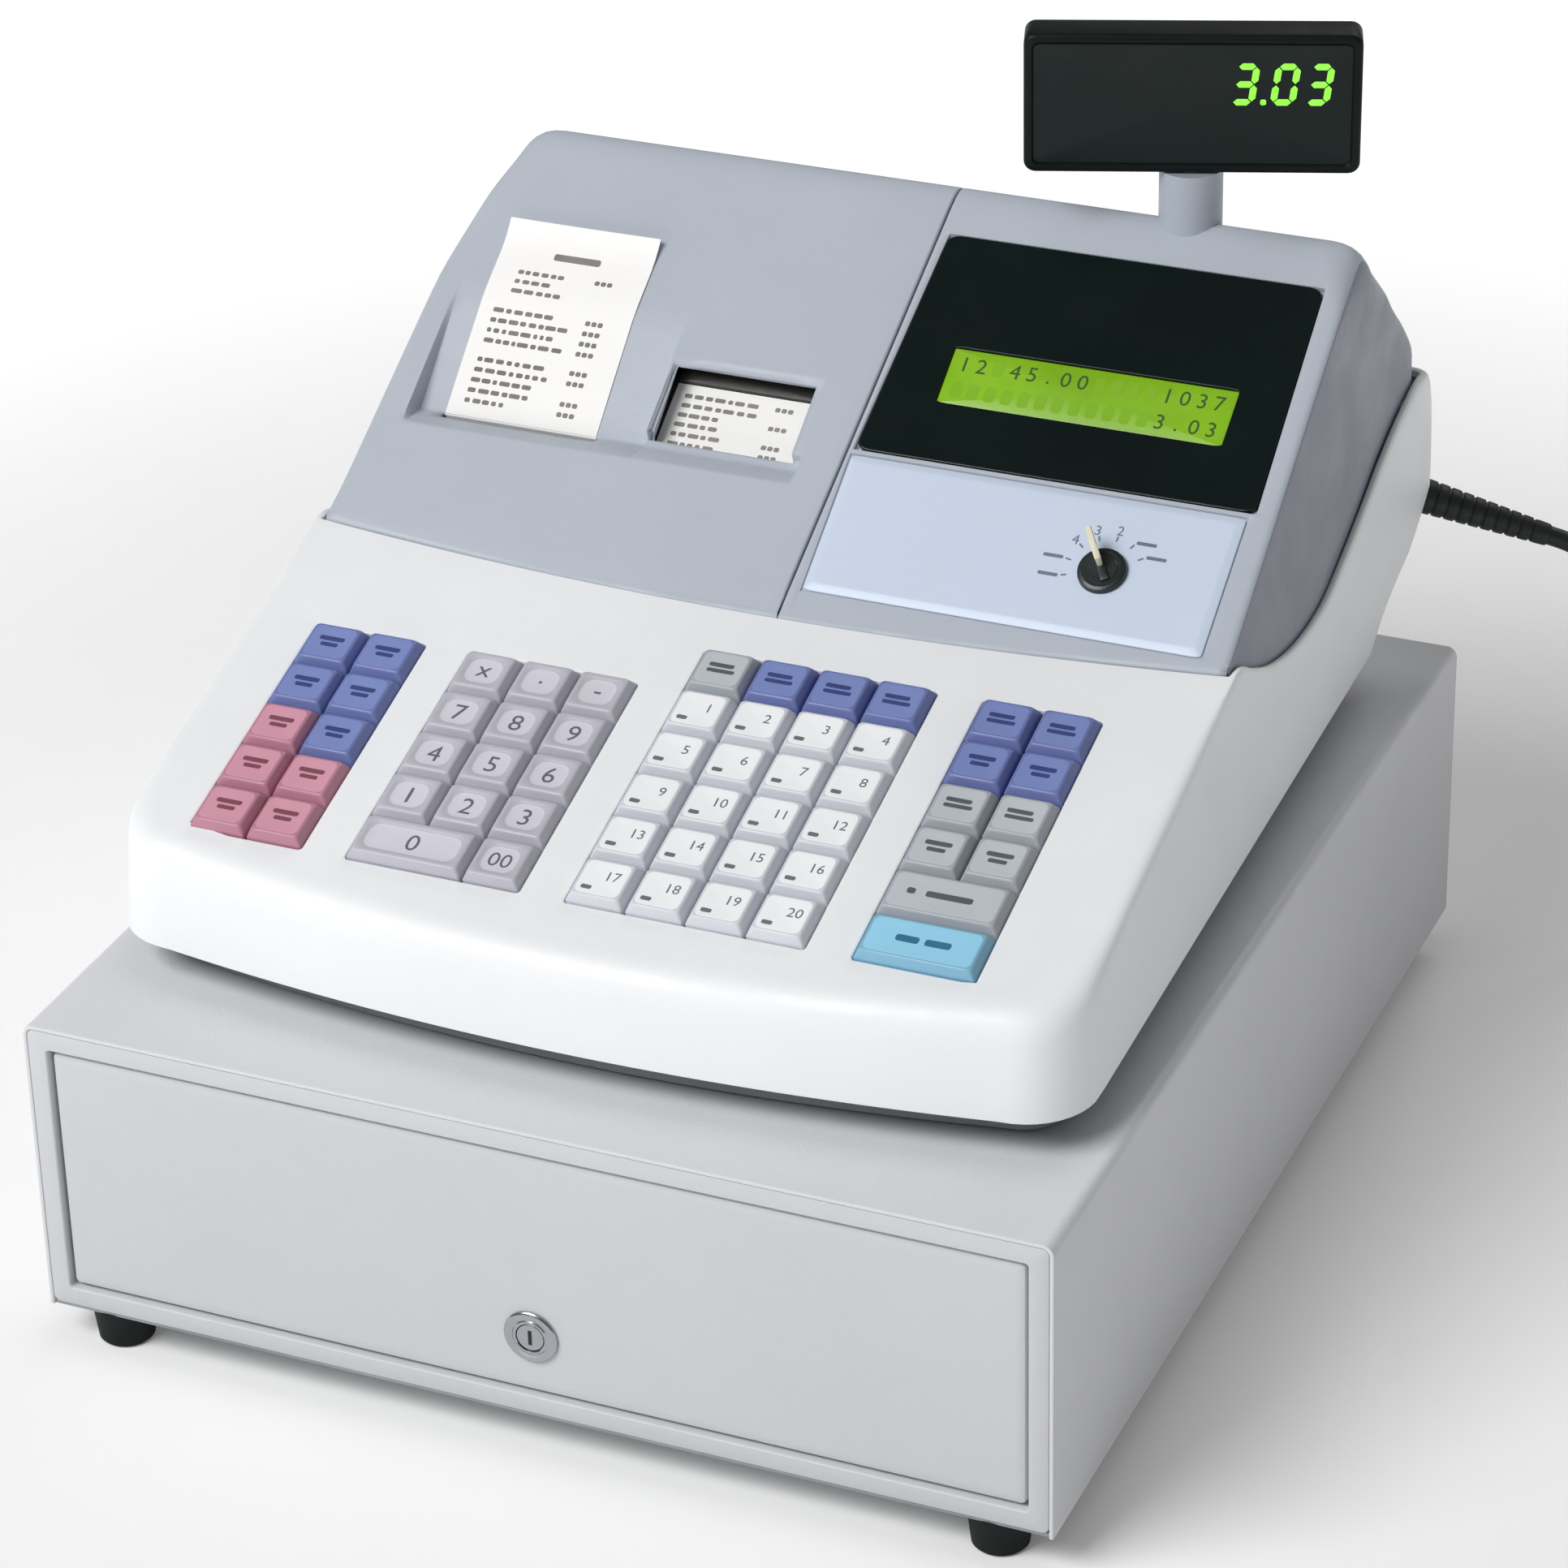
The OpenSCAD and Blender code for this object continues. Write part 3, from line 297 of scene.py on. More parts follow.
def finish(name, colour, rough=0.45, grain=900.0, relief=0.12, mottle=0.04, metal=0.0,
           coat=0.0, streak=None, smudge=0.08, glow=0.0, specular=0.5, sheen=0.0):
    """A finish with fine moulded or painted grain, a slow drift of tone and handled patches.

    grain is the number of grains in a metre and relief their bump; mottle is the drift of
    tone; streak stretches the grain along one axis, as on rolled or brushed metal.
    """
    if name in FINISHES:
        return FINISHES[name]
    material = bpy.data.materials.new(name)
    material.use_nodes = True
    nodes, links = material.node_tree.nodes, material.node_tree.links
    shader = nodes["Principled BSDF"]
    shader.inputs["Metallic"].default_value = metal
    shader.inputs["Coat Weight"].default_value = coat
    shader.inputs["Coat Roughness"].default_value = 0.18
    shader.inputs["Specular IOR Level"].default_value = specular
    if sheen:
        shader.inputs["Sheen Weight"].default_value = sheen
    place = nodes.new("ShaderNodeTexCoord")
    stretch = nodes.new("ShaderNodeMapping")
    stretch.inputs["Scale"].default_value = streak or (1, 1, 1)
    links.new(place.outputs["Object"], stretch.inputs["Vector"])

    def noise(scale, detail, rough_share=0.5):
        node = nodes.new("ShaderNodeTexNoise")
        node.inputs["Scale"].default_value = scale
        node.inputs["Detail"].default_value = detail
        node.inputs["Roughness"].default_value = rough_share
        links.new(stretch.outputs["Vector"], node.inputs["Vector"])
        return node.outputs["Fac"]

    def ramp(source, low, high, at=(0.35, 0.65)):
        node = nodes.new("ShaderNodeMapRange")
        node.inputs["From Min"].default_value = at[0]
        node.inputs["From Max"].default_value = at[1]
        node.inputs["To Min"].default_value = low
        node.inputs["To Max"].default_value = high
        links.new(source, node.inputs["Value"])
        return node.outputs["Result"]

    colour = srgb(colour) if isinstance(colour, str) else tuple(colour)
    drift = nodes.new("ShaderNodeMix")
    drift.data_type = "RGBA"
    dark = tuple(c * (1 - 2.2 * mottle) for c in colour)
    light = tuple(min(c * (1 + 0.8 * mottle), 1) for c in colour)
    drift.inputs["A"].default_value = (*dark, 1)
    drift.inputs["B"].default_value = (*light, 1)
    links.new(ramp(noise(14.0, 6.0, 0.62), 0.0, 1.0, (0.3, 0.7)), drift.inputs["Factor"])
    speck = nodes.new("ShaderNodeMix")
    speck.data_type = "RGBA"
    speck.blend_type = "MULTIPLY"
    links.new(ramp(noise(grain * 0.6, 2.0), 0.0, 0.35 * mottle / 0.04 * 0.12, (0.56, 0.75)),
              speck.inputs["Factor"])
    links.new(drift.outputs["Result"], speck.inputs["A"])
    speck.inputs["B"].default_value = (0.55, 0.55, 0.56, 1)
    links.new(speck.outputs["Result"], shader.inputs["Base Color"])
    links.new(ramp(noise(38.0, 4.0, 0.6), max(rough - smudge, 0.04), rough + smudge),
              shader.inputs["Roughness"])
    bump = nodes.new("ShaderNodeBump")
    bump.inputs["Strength"].default_value = relief
    bump.inputs["Distance"].default_value = 0.6 / grain
    links.new(noise(grain, 3.0, 0.55), bump.inputs["Height"])
    links.new(bump.outputs["Normal"], shader.inputs["Normal"])
    if glow:
        shader.inputs["Emission Color"].default_value = (*colour, 1)
        shader.inputs["Emission Strength"].default_value = glow
    FINISHES[name] = material
    return material


def white_case():
    """The case's white plastic."""
    return finish("white_case", looks().white, rough=0.46, grain=1500, relief=0.16, mottle=0.01)


def housing_grey():
    """The housing's blue-grey plastic."""
    return finish("housing_grey", looks().housing, rough=0.5, grain=1500, relief=0.18,
                  mottle=0.015)


def pale_ink():
    """The print on the papers."""
    return finish("faded_print", "8f8a85", rough=0.8, grain=2500, relief=0.05, mottle=0.2)

# --- Sizes and colours a user may change ------------------------------------------

def length(text, about, default, low=0.0, high=1.0):
    """A size in metres that a user may change."""
    return FloatProperty(name=text, description=about, default=default, min=low, max=high,
                         unit="LENGTH", subtype="DISTANCE", precision=4)


def shade(text, about, code):
    """A colour that a user may change."""
    return FloatVectorProperty(name=text, description=about, default=srgb(code), min=0, max=1,
                               size=3, subtype="COLOR")


class REGISTER_PG_case(bpy.types.PropertyGroup):
    front_round: length("Front rounding", "Rounding of the case's front lip", 0.0085)
    side_round: length("Side rounding", "Rounding beside the keyboard", 0.0045)
    front_bow: length("Front bow", "How far the front bows out", 0.017)


class REGISTER_PG_housing(bpy.types.PropertyGroup):
    edge_round: length("Face rounding", "Rounding of the face's side edges", 0.003)
    crest_round: length("Crest rounding", "Rounding of the crest's side corners", 0.013)
    recess: length("Recess depth", "Depth of the receipt's recess at its slot", 0.007)


class REGISTER_PG_keys(bpy.types.PropertyGroup):
    height: length("Key height", "Height of a key's face above the case", 0.0032)
    shoulder: length("Key shoulder", "How far a key's sides lean in", 0.0017)
    dish: length("Key dish", "Depth of the hollow in a key's face", 0.0004)
    deep_dish: length("Number key dish", "Depth of the hollow in a number key", 0.0009)


class REGISTER_PG_looks(bpy.types.PropertyGroup):
    white: shade("Case white", "Colour of the white plastic", "eaecee")
    housing: shade("Housing grey", "Colour of the blue-grey plastic", "b0b7c1")
    front: shade("Drawer front", "Colour of the drawer's painted front", "c9cacd")
    cabinet: shade("Cabinet", "Colour of the cabinet's enamel", "d6d7da")
    screen: shade("Display green", "Colour of the lit display", "7fb218")


class REGISTER_PG_lead(bpy.types.PropertyGroup):
    diameter: length("Lead diameter", "Thickness of the mains lead", 0.007)
    whole: FloatProperty(name="Lead length", description="Length of the mains lead",
                         default=1.75, min=1.0, max=3.0, unit="LENGTH", subtype="DISTANCE")


class REGISTER_PG_stage(bpy.types.PropertyGroup):
    lens: FloatProperty(name="Lens", description="Focal length of the camera in millimetres",
                        default=123.7, min=20, max=300, subtype="DISTANCE_CAMERA")
    floor: shade("Floor", "Colour of the studio floor", "f4f4f4")
    key_power: FloatProperty(name="Key light", description="Power of the large soft light",
                             default=73.0, min=0, max=500, unit="POWER")


def looks():
    """The scene's colours."""
    return bpy.context.scene.register_looks


def mm(value):
    """Millimetres of a length in metres."""
    return value / MM


# --- Stage: floor, lights and camera ------------------------------------------------

# Camera: its place in metres, its right, up and backward axes as columns, and its shift
CAMERA_AT, CAMERA_SHIFT = (0.6557, -1.4906, 1.0413), 0.0026
CAMERA_AXES = ((0.9196, -0.1726, 0.3529), (0.3922, 0.454, -0.8001), (-0.0221, 0.8741, 0.4852))
# Half the side of the floor
FLOOR_REACH = 9000.0
# The floor's own light, from the object outward: distance in metres and strength
FLOOR_GLOW = (("From Min", 0.4), ("From Max", 1.3), ("To Min", 0.1), ("To Max", 0.8))
# Power of the back light as a share of the key light's, and strength of the sky
BACK_SHARE, SKY_STRENGTH = 0.2, 0.2


def area_light(name, place, target, size, power):
    """A soft rectangular light at a place, turned to its target."""
    data = bpy.data.lights.new(name, "AREA")
    data.shape, data.size, data.size_y = "RECTANGLE", size[0], size[1]
    data.energy = power
    light = bpy.data.objects.new(name, data)
    bpy.context.scene.collection.objects.link(light)
    light.location = place
    light.rotation_euler = (Vector(target) - Vector(place)).to_track_quat("-Z", "Y").to_euler()


class REGISTER_OT_stage(bpy.types.Operator):
    """Makes the pale floor, the soft lights, the sky and the camera"""
    bl_idname = "register.stage"
    bl_label = "Stage"

    def execute(self, context):
        self.camera(context.scene)
        self.floor(context.scene)
        power = context.scene.register_stage.key_power
        area_light("key_light", (-1.05, -1.8, 2.25), (0, 0, 0.15), (1.8, 1.3), power)
        area_light("back_light", (0.5, 2.2, 2.0), (0, 0.1, 0.2), (1.8, 0.8), power * BACK_SHARE)
        world = bpy.data.worlds.new("studio")
        world.use_nodes = True
        sky = world.node_tree.nodes["Background"]
        sky.inputs["Color"].default_value = (1, 1, 1, 1)
        sky.inputs["Strength"].default_value = SKY_STRENGTH
        context.scene.world = world
        context.scene.view_settings.view_transform = "Standard"
        return {"FINISHED"}

    def camera(self, scene):
        """The camera, set by its place and its axes."""
        data = bpy.data.cameras.new("camera")
        data.lens, data.sensor_width = scene.register_stage.lens, 36.0
        data.shift_x = CAMERA_SHIFT
        data.clip_start, data.clip_end = 0.05, 30.0
        camera = bpy.data.objects.new("camera", data)
        camera.matrix_world = (Matrix.Translation(CAMERA_AT)
                               @ Matrix(CAMERA_AXES).normalized().to_4x4())
        scene.collection.objects.link(camera)
        scene.camera = camera

    def floor(self, scene):
        """A flat sheet of pale paper, whose own light grows with the distance from its middle."""
        floor = Form()
        u = np.linspace(-FLOOR_REACH, FLOOR_REACH, 25)
        floor.grid(stack(u[None, :], u[:, None], 0))
        mesh = bpy.data.meshes.new("floor")
        mesh.from_pydata((np.concatenate(floor.points) * MM).tolist(), [], floor.faces)
        ground = bpy.data.objects.new("floor", mesh)
        scene.collection.objects.link(ground)
        paper = finish("floor_paper", scene.register_stage.floor, rough=0.9, grain=400,
                       relief=0.02, mottle=0.004, glow=0.12)
        mesh.materials.append(paper)
        nodes, links = paper.node_tree.nodes, paper.node_tree.links
        place = nodes.new("ShaderNodeTexCoord")
        far = nodes.new("ShaderNodeVectorMath")
        far.operation = "LENGTH"
        links.new(place.outputs["Object"], far.inputs[0])
        rise = nodes.new("ShaderNodeMapRange")
        rise.interpolation_type = "SMOOTHSTEP"
        for key, value in FLOOR_GLOW:
            rise.inputs[key].default_value = value
        links.new(far.outputs["Value"], rise.inputs["Value"])
        links.new(rise.outputs["Result"], nodes["Principled BSDF"].inputs["Emission Strength"])


# --- Mains lead -----------------------------------------------------------------------

# Radius of the lead, and where it leaves the case and which way
LEAD_R = 3.5
RELIEF_AT = np.array([167.0, 209.0, 180.4])
RELIEF_ALONG = np.array([0.924, 0.247, -0.291])
# Points of the lead from the case to its coil, and from the coil to the plug
LEAD_ROUTE = [
    (167, 209, 180.4), (187.3, 214.4, 174), (207.7, 219.9, 167.6), (216, 222, 164.6),
    (225, 224.5, 159), (233, 227, 149.5), (239, 229, 137), (242, 230, 122), (243, 230.5, 100),
    (243.5, 231, 75), (244, 231.5, 50), (244, 232, 32), (244, 234.5, 21), (244, 241, 11),
    (244.3, 251, 5), (244.5, 262, 3.5)]
TAIL_ROUTE = [
    (340.5, 262, 10.3), (340.5, 249, 8), (340.5, 237, 5.2), (340.5, 224, 3.8),
    (340.5, 210, 3.5), (340.5, 196, 4), (340.5, 184, 5)]
# The coil's middle, the radii of its turns from the outermost in, and how many turns it has
COIL_AT = (292.5, 276.0)
COIL_RADII = (48.0, 41.0, 34.0)
COIL_TURNS = 5.5
PLUG_AT = np.array([340.5, 184.0, 9.0])
# The plug's body from the lead to its face: depth, half width and half height
PLUG_BODY = [(-11, 9, 6.5), (-12, 11, 8), (-14, 12, 9), (-20, 12, 9), (-30, 11.4, 8.4),
             (-38, 11.4, 8.6), (-42, 11.8, 9), (-43.5, 11.4, 8.8), (-44, 10.6, 8)]


def coil_points():
    """Three turns inward on the floor, then two and a half outward on top of them.

    The radius steps over to the next turn's during the last sixth of a turn, and the height
    rises by one lead's width at the end of the third turn.
    """
    turn = np.arange(0, COIL_TURNS + 1e-6, 1 / 16)
    whole = np.floor(turn + 1e-9)
    part = turn - whole
    radii = np.array(COIL_RADII + COIL_RADII[::-1] + COIL_RADII[:1])
    k = whole.astype(int)
    radius = mix(radii[k], radii[k + 1], ease((part - 0.84) / 0.16))
    layer = np.where(k > 2, 1.0, np.where(k == 2, ease((part - 0.72) / 0.28), 0.0))
    angle = math.pi - 2 * math.pi * turn
    return stack(COIL_AT[0] + radius * np.cos(angle), COIL_AT[1] + radius * np.sin(angle),
                 LEAD_R + 2 * LEAD_R * layer)


def turned(start, along, profile, steps=36):
    """Rings of a profile (distance, radius) turned round an axis: each point is its distance
    along the axis, and its radius times the cosine and sine of even angles square to it."""
    along = np.asarray(along, float) / np.linalg.norm(along)
    a = np.cross(along, (0, 0, 1.0))
    a /= np.linalg.norm(a)
    b = np.cross(a, along)
    d, r = np.asarray(profile, float).T
    t = np.arange(steps) * 2 * math.pi / steps
    return (np.asarray(start, float) + d[:, None, None] * along
            + r[:, None, None] * (np.cos(t)[None, :, None] * a + np.sin(t)[None, :, None] * b))


def strain_relief():
    """The ribbed sleeve on its gland: nine ribs that get smaller outward, with slots between."""
    relief = Form()
    profile = [(-13, 3.6), (-13, 6.0), (-12.5, 6.5), (1.8, 6.5), (2, 7.6), (2.4, 8), (4.6, 8),
               (5, 7.6), (5.2, 6.4)]
    for k in range(9):
        at, reach = 7 + 4.6 * k, 6.4 - 0.235 * k
        profile += [(at, reach), (at + 0.4, reach + 0.05), (at + 2.9, reach - 0.08),
                    (at + 3.2, reach - 0.25), (at + 3.3, reach - 0.7),
                    (at + 4.1, reach - 0.75), (at + 4.25, reach - 0.35)]
    profile += [(49.5, 4.3), (53.4, 4.1), (54, 3.8), (54, LEAD_R)]
    relief.grid(turned(RELIEF_AT - 10 * RELIEF_ALONG, RELIEF_ALONG, profile), close_cols=True)
    rubber = finish("relief_rubber", "131c1a", rough=0.55, grain=900, relief=0.1)
    return relief.piece("strain_relief_ribbed", [rubber], "register", ["strain_relief"],
                        "lead_black", smooth=40)


def mains_plug(black):
    """The moulded plug: rounded rectangles carried along, a ribbed throat and two round pins."""
    plug = Form()
    rings = [((-x, -z), (x, z), 4.5, y) for y, x, z in PLUG_BODY]
    plug.lathe(PLUG_AT + ring_stack(upright, rings, 5))
    throat = [(0, 3.55), (0, 4.0)]
    for k in range(4):
        throat += [(1.5 + 2.7 * k, 4.2 + 0.5 * k), (2.9 + 2.7 * k, 4.4 + 0.5 * k),
                   (3.1 + 2.7 * k, 3.8 + 0.5 * k), (4.0 + 2.7 * k, 3.9 + 0.5 * k)]
    plug.grid(turned(PLUG_AT + (0, 0, -3.8), (0, -1, 0), throat), close_cols=True)
    for side in (-1, 1):
        plug.lathe(turned(PLUG_AT + (side * 6.3, -43.6, 0), (0, -1, 0),
                          [(0, 2.3), (16.2, 2.3), (17.1, 1.9), (17.4, 1.2)], 20), finish=1)
    brass = finish("pin_brass", "c9b06a", rough=0.25, grain=600, relief=0.05, metal=1.0)
    return plug.piece("mains_plug", [black, brass], "register", ["power_plug"], "lead_black")


class REGISTER_OT_lead(bpy.types.Operator):
    """Lays the mains lead with its strain relief, coil and plug"""
    bl_idname = "register.lead"
    bl_label = "Mains lead"

    def execute(self, context):
        lead = context.scene.register_lead
        black = finish("lead_black", "111a19", rough=0.5, grain=1100, relief=0.12)
        data = bpy.data.curves.new("mains_lead", "CURVE")
        data.dimensions = "3D"
        data.bevel_depth, data.bevel_resolution = lead.diameter / 2, 4
        data.use_fill_caps = True
        points = np.concatenate([LEAD_ROUTE, coil_points(), TAIL_ROUTE])
        spline = data.splines.new("BEZIER")
        spline.bezier_points.add(len(points) - 1)
        for knot, place in zip(spline.bezier_points, points * MM):
            knot.co = place
            knot.handle_left_type = knot.handle_right_type = "AUTO"
        spline.resolution_u = 6
        data.materials.append(black)
        cable = bpy.data.objects.new("mains_lead", data)
        context.scene.collection.objects.link(cable)
        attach(cable, "register")
        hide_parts("power_cord", "cord_coil")
        sleeve = strain_relief()
        tip = mains_plug(black)
        return {"FINISHED"}


# --- White case ---------------------------------------------------------------------------

# The case's upper edge behind the seam, as depth and height: a peak, then the hollow shoulder
PEAK, PEAK_FALL = (-9, 218.8), -0.45
SHOULDER = [(2, 213.2), (18, 206), (40, 200), (62, 198), (82, 200), (100, 206.5), (122, 216),
            (143, 226), (165, 234), (186, 238), (200, 236)]
# The case's back, as height and depth
REAR = [(138, 170), (150, 176), (160, 186), (168, 198), (178, 209), (187, 214), (198, 215),
        (212, 213), (226, 208), (236, 200)]
# The case's plan where it is narrowest and where it is full, and the heights of both: half
# width in front, half width behind and depth of the front's middle
PLAN_Z = (130, 190)
FRONT_HALF, REAR_HALF, FRONT_MIDDLE = (171.3, 169.0), (156.9, 169.0), (-188.85, -182.5)
FRONT_CORNER_R, CORNER_TURN_Y = 24.0, 120
# The lip's width from the edge in: at the front, beside the keys and beside the housing
LIP_FRONT, LIP_SIDE, LIP_REAR = 14, 8, 3.15
# The rim beside the housing: its rounding, how far its flank carries it down, what it gains
# at the back and how far it falls inward
RIM_R, RIM_FLANK, RIM_GAIN, RIM_DROP = 1.7, 4.5, 0.6, 0.7
# Collar of a key opening from the deck down: growth of the opening and height
COLLAR = ((0.9, 0.0), (0.55, -0.04), (0.2, -0.22), (0, -0.6), (0, -WALL * math.cos(KEY_SLOPE)))


def keyboard_height(y):
    """Height of the keyboard's plane at a depth."""
    return KEY_ORIGIN[1] + math.tan(KEY_SLOPE) * (y - KEY_ORIGIN[0])


def case_top(y):
    """Height of the case's upper edge: the keyboard's slope up to the seam, a rounded peak,
    then a hollow shoulder that climbs again to the back."""
    y = np.asarray(y, float)
    peak = [(SEAM_END_Y, keyboard_height(SEAM_END_Y)), PEAK, SHOULDER[0]]
    return np.where(y <= SEAM_END_Y, keyboard_height(y),
                    np.where(y < SHOULDER[0][0], smooth_curve(peak, y, math.tan(KEY_SLOPE)),
                             smooth_curve(SHOULDER, y, PEAK_FALL)))


def case_stations():
    """Kind, parameter and side of each station round the case, from the front's middle to the
    back's middle on the right, then back along the left.

    The kinds are front, front corner, side, rear corner and back, and their parameters a share
    of the half width, an angle or a depth. Stations stand closer where the edge turns.
    """
    side = np.concatenate([np.linspace(-146, -24, 26, endpoint=False),
                           np.linspace(-24, SEAM_END_Y, 5), np.linspace(-14.5, 4, 10),
                           np.linspace(8, 191, 35)])
    runs = (np.linspace(0, 0.985, 18), np.radians(np.linspace(-80, -6, 9)), side,
            np.radians(np.linspace(3, 90, 8)), np.linspace(0.92, 0, 9))
    value = np.concatenate(runs)
    kind = np.repeat(np.arange(len(runs)), [len(run) for run in runs])
    back = slice(len(kind) - 2, 0, -1)
    return (np.concatenate([kind, kind[back]]), np.concatenate([value, value[back]]),
            np.concatenate([np.ones(len(kind)), -np.ones(len(kind) - 2)]))


def case_plan(kind, value, side, z, bow):
    """Where each station meets the case's outline at height z, and the way out from there.

    The outline is a bowed front, a round front corner, a straight side that draws in towards
    the foot, a round rear corner and a back that follows the rear curve.
    """
    t = np.clip((z - PLAN_Z[0]) / (PLAN_Z[1] - PLAN_Z[0]), 0, 1)
    half_f, half_r, mid = mix(*FRONT_HALF, t), mix(*REAR_HALF, t), mix(*FRONT_MIDDLE, t)
    rear = np.where(z >= REAR[-1][0], REAR[-1][1], smooth_curve(REAR, z))
    rr = 5 + 15 * np.clip((rear - 195) / 20, 0, 1)
    rf = FRONT_CORNER_R
    x0 = (half_f - rf) * value
    edge_y = mid + bow * ((half_f - rf) / half_f) ** 2 + rf
    along = np.clip((value - CORNER_TURN_Y) / 75, 0, 1)
    side_y = np.where(value > CORNER_TURN_Y, CORNER_TURN_Y + along * (rear - rr - CORNER_TURN_Y),
                      value)
    share = np.clip((side_y - edge_y) / (195 - edge_y), 0, 1)
    options_x = [x0, half_f - rf + rf * np.cos(value), mix(half_f, half_r, share),
                 half_r - rr + rr * np.cos(value), (half_r - rr) * value]
    options_y = [mid + bow * (x0 / half_f) ** 2, edge_y + rf * np.sin(value), side_y,
                 rear - rr + rr * np.sin(value), rear + 0 * value]
    lean = 2 * bow * x0 / half_f ** 2
    size = np.hypot(lean, 1)
    out_x = [lean / size, np.cos(value), np.ones_like(value), np.cos(value), 0 * value]
    out_y = [-1 / size, np.sin(value), 0 * value, np.sin(value), np.ones_like(value)]
    return (side * np.choose(kind, options_x), np.choose(kind, options_y),
            side * np.choose(kind, out_x), np.choose(kind, out_y))


def cut_sheet(loops):
    """Points and triangles of a flat sheet inside the first loop, with the others as edges."""
    points, edges = [], []
    for loop in loops:
        base, n = len(points), len(loop)
        points += [Vector(p) for p in loop.tolist()]
        edges += [(base + k, base + (k + 1) % n) for k in range(n)]
    made, _, triangles = delaunay_2d_cdt(points, edges, [], 1, 1e-6)[:3]
    return np.array(made), np.array([t for t in triangles if len(t) == 3])


def flat_plate(form, outline, holes, n):
    """A flat plate in the keyboard's plane inside an outline and outside its square holes."""
    c, w = math.cos(KEY_SLOPE), math.sin(KEY_SLOPE)

    def flat(points):
        return np.stack([points[:, 0], (points[:, 1] - KEY_ORIGIN[0]) * c
                         + (points[:, 2] - KEY_ORIGIN[1]) * w], -1)

    loops = [flat(points) for points in (outline, *holes)]
    made, triangles = cut_sheet(loops)
    middle = made[triangles].mean(1)
    keep = np.ones(len(triangles), bool)
    for loop in loops[1:]:
        keep &= ~((middle > loop.min(0)) & (middle < loop.max(0))).all(1)
    form.add(on_keyboard(made[:, 0], made[:, 1], n), triangles[keep])


class REGISTER_OT_case(bpy.types.Operator):
    """Moulds the white case: its wall, rounded lip, keyboard deck and key openings"""
    bl_idname = "register.case"
    bl_label = "White case"

    def execute(self, context):
        sizes = context.scene.register_case
        bow = mm(sizes.front_bow)
        kind, value, side = case_stations()

        def plan(z):
            return case_plan(kind, value, side, z, bow)

        # The edge's height and its depth hang together, so both are settled step by step
        top = np.full(len(kind), 190.0)
        for _ in range(12):
            top = 0.5 * top + 0.5 * np.minimum(case_top(plan(top)[1]), CASE_CROWN)
        x, y, out_x, out_y = plan(top)
        beside = ease((y + 165) / 45)
        narrow = ease((y + 60) / (60 + SEAM_END_Y))
        gain = RIM_GAIN * ease((y - 170) / 25)
        radius = mix(mm(sizes.front_round), mm(sizes.side_round), beside)
        radius = mix(radius, RIM_R, narrow) + gain
        inner = mix(mix(LIP_FRONT, LIP_SIDE, beside), LIP_REAR, narrow) + gain
        deck = y <= SEAM_END_Y + 0.01
        drop = np.where(deck, 0.0, RIM_DROP)

        def inward(d, lower=0.0):
            """Points a distance in from the wall, on or under the case's upper surface."""
            px, py = x - d * out_x, y - d * out_y
            return stack(px, py, np.minimum(case_top(py), CASE_CROWN + 1) - lower)

        def wall(height, inset, shares):
            """Rows of the wall from the foot to a height, set in by a distance."""
            rows = []
            for share in shares:
                z = mix(CASE_FOOT, height, share)
                px, py, ox, oy = plan(z)
                rows.append(stack(px - inset * ox, py - inset * oy, z))
            return rows

        rows = wall(top - radius - RIM_FLANK * narrow, 0, np.linspace(0, 1, 17))
        rows += list(bend(rows[-1], stack(x, y, top), inward(radius), 6)[1:])
        lip = bend(inward(radius), inward((radius + inner) / 2), inward(inner, drop), 3)
        rows += list(lip[1:])
        skin = Form()
        skin.grid(np.array(rows), close_cols=True)
        lid_end = rows[-1]

        # Inner wall, from under the edge down to the foot
        under = inward(inner, WALL + drop)
        under_rows = [under, inward(np.maximum(WALL + 0.6, inner * 0.6), WALL + drop + 0.1)]
        under_rows += wall(top - drop - WALL - 2.0, WALL, np.linspace(1, 0, 12))
        skin.grid(np.array(under_rows), close_cols=True)
        skin.grid(np.array([under_rows[-1], rows[0]]), close_cols=True)
        skin.grid(np.array([lid_end, under]), close_cols=True,
                  keep=~(deck & np.roll(deck, -1))[None, :])

        # Deck of the keyboard, from the lip to the seam, above and below
        n = len(kind)
        order = (np.where(~deck)[0].max() + 1 + np.arange(n)) % n
        order = order[deck[order]]
        seam_x = np.linspace(lid_end[order[-1]][0], lid_end[order[0]][0], 42)[1:-1]
        seam_y = SEAM_MIDDLE_Y + SEAM_BOW * (seam_x / SEAM_HALF) ** 2
        seam_top = stack(seam_x, seam_y, keyboard_height(seam_y))
        seam_low = seam_top - (0, 0, WALL)
        collars = []
        for block, (cols, depth) in BLOCK_SIZE.items():
            low = np.array([BLOCK_LEFT[block], BLOCK_FOOT])
            high = low + (cols * KEY_PX, depth * KEY_PY)
            rings = [(low - grow, high + grow, 1.3 + grow, level) for grow, level in COLLAR]
            collars.append(ring_stack(on_keyboard, rings, 4))
            skin.grid(collars[-1], close_cols=True)
        for edge, seam, row in ((lid_end, seam_top, 0), (under, seam_low, -1)):
            flat_plate(skin, np.concatenate([edge[order], seam]), [c[row] for c in collars],
                       COLLAR[row][1])
        skin.grid(np.array([np.concatenate([edge[order[-1:]], seam, edge[order[:1]]])
                            for edge, seam in ((lid_end, seam_top), (under, seam_low))]))
        skin.piece("white_case_shell", [white_case()], "register", ["upper_case"], "white_case",
                   smooth=28)
        return {"FINISHED"}


# --- Blue-grey housing and printer cover ----------------------------------------------------

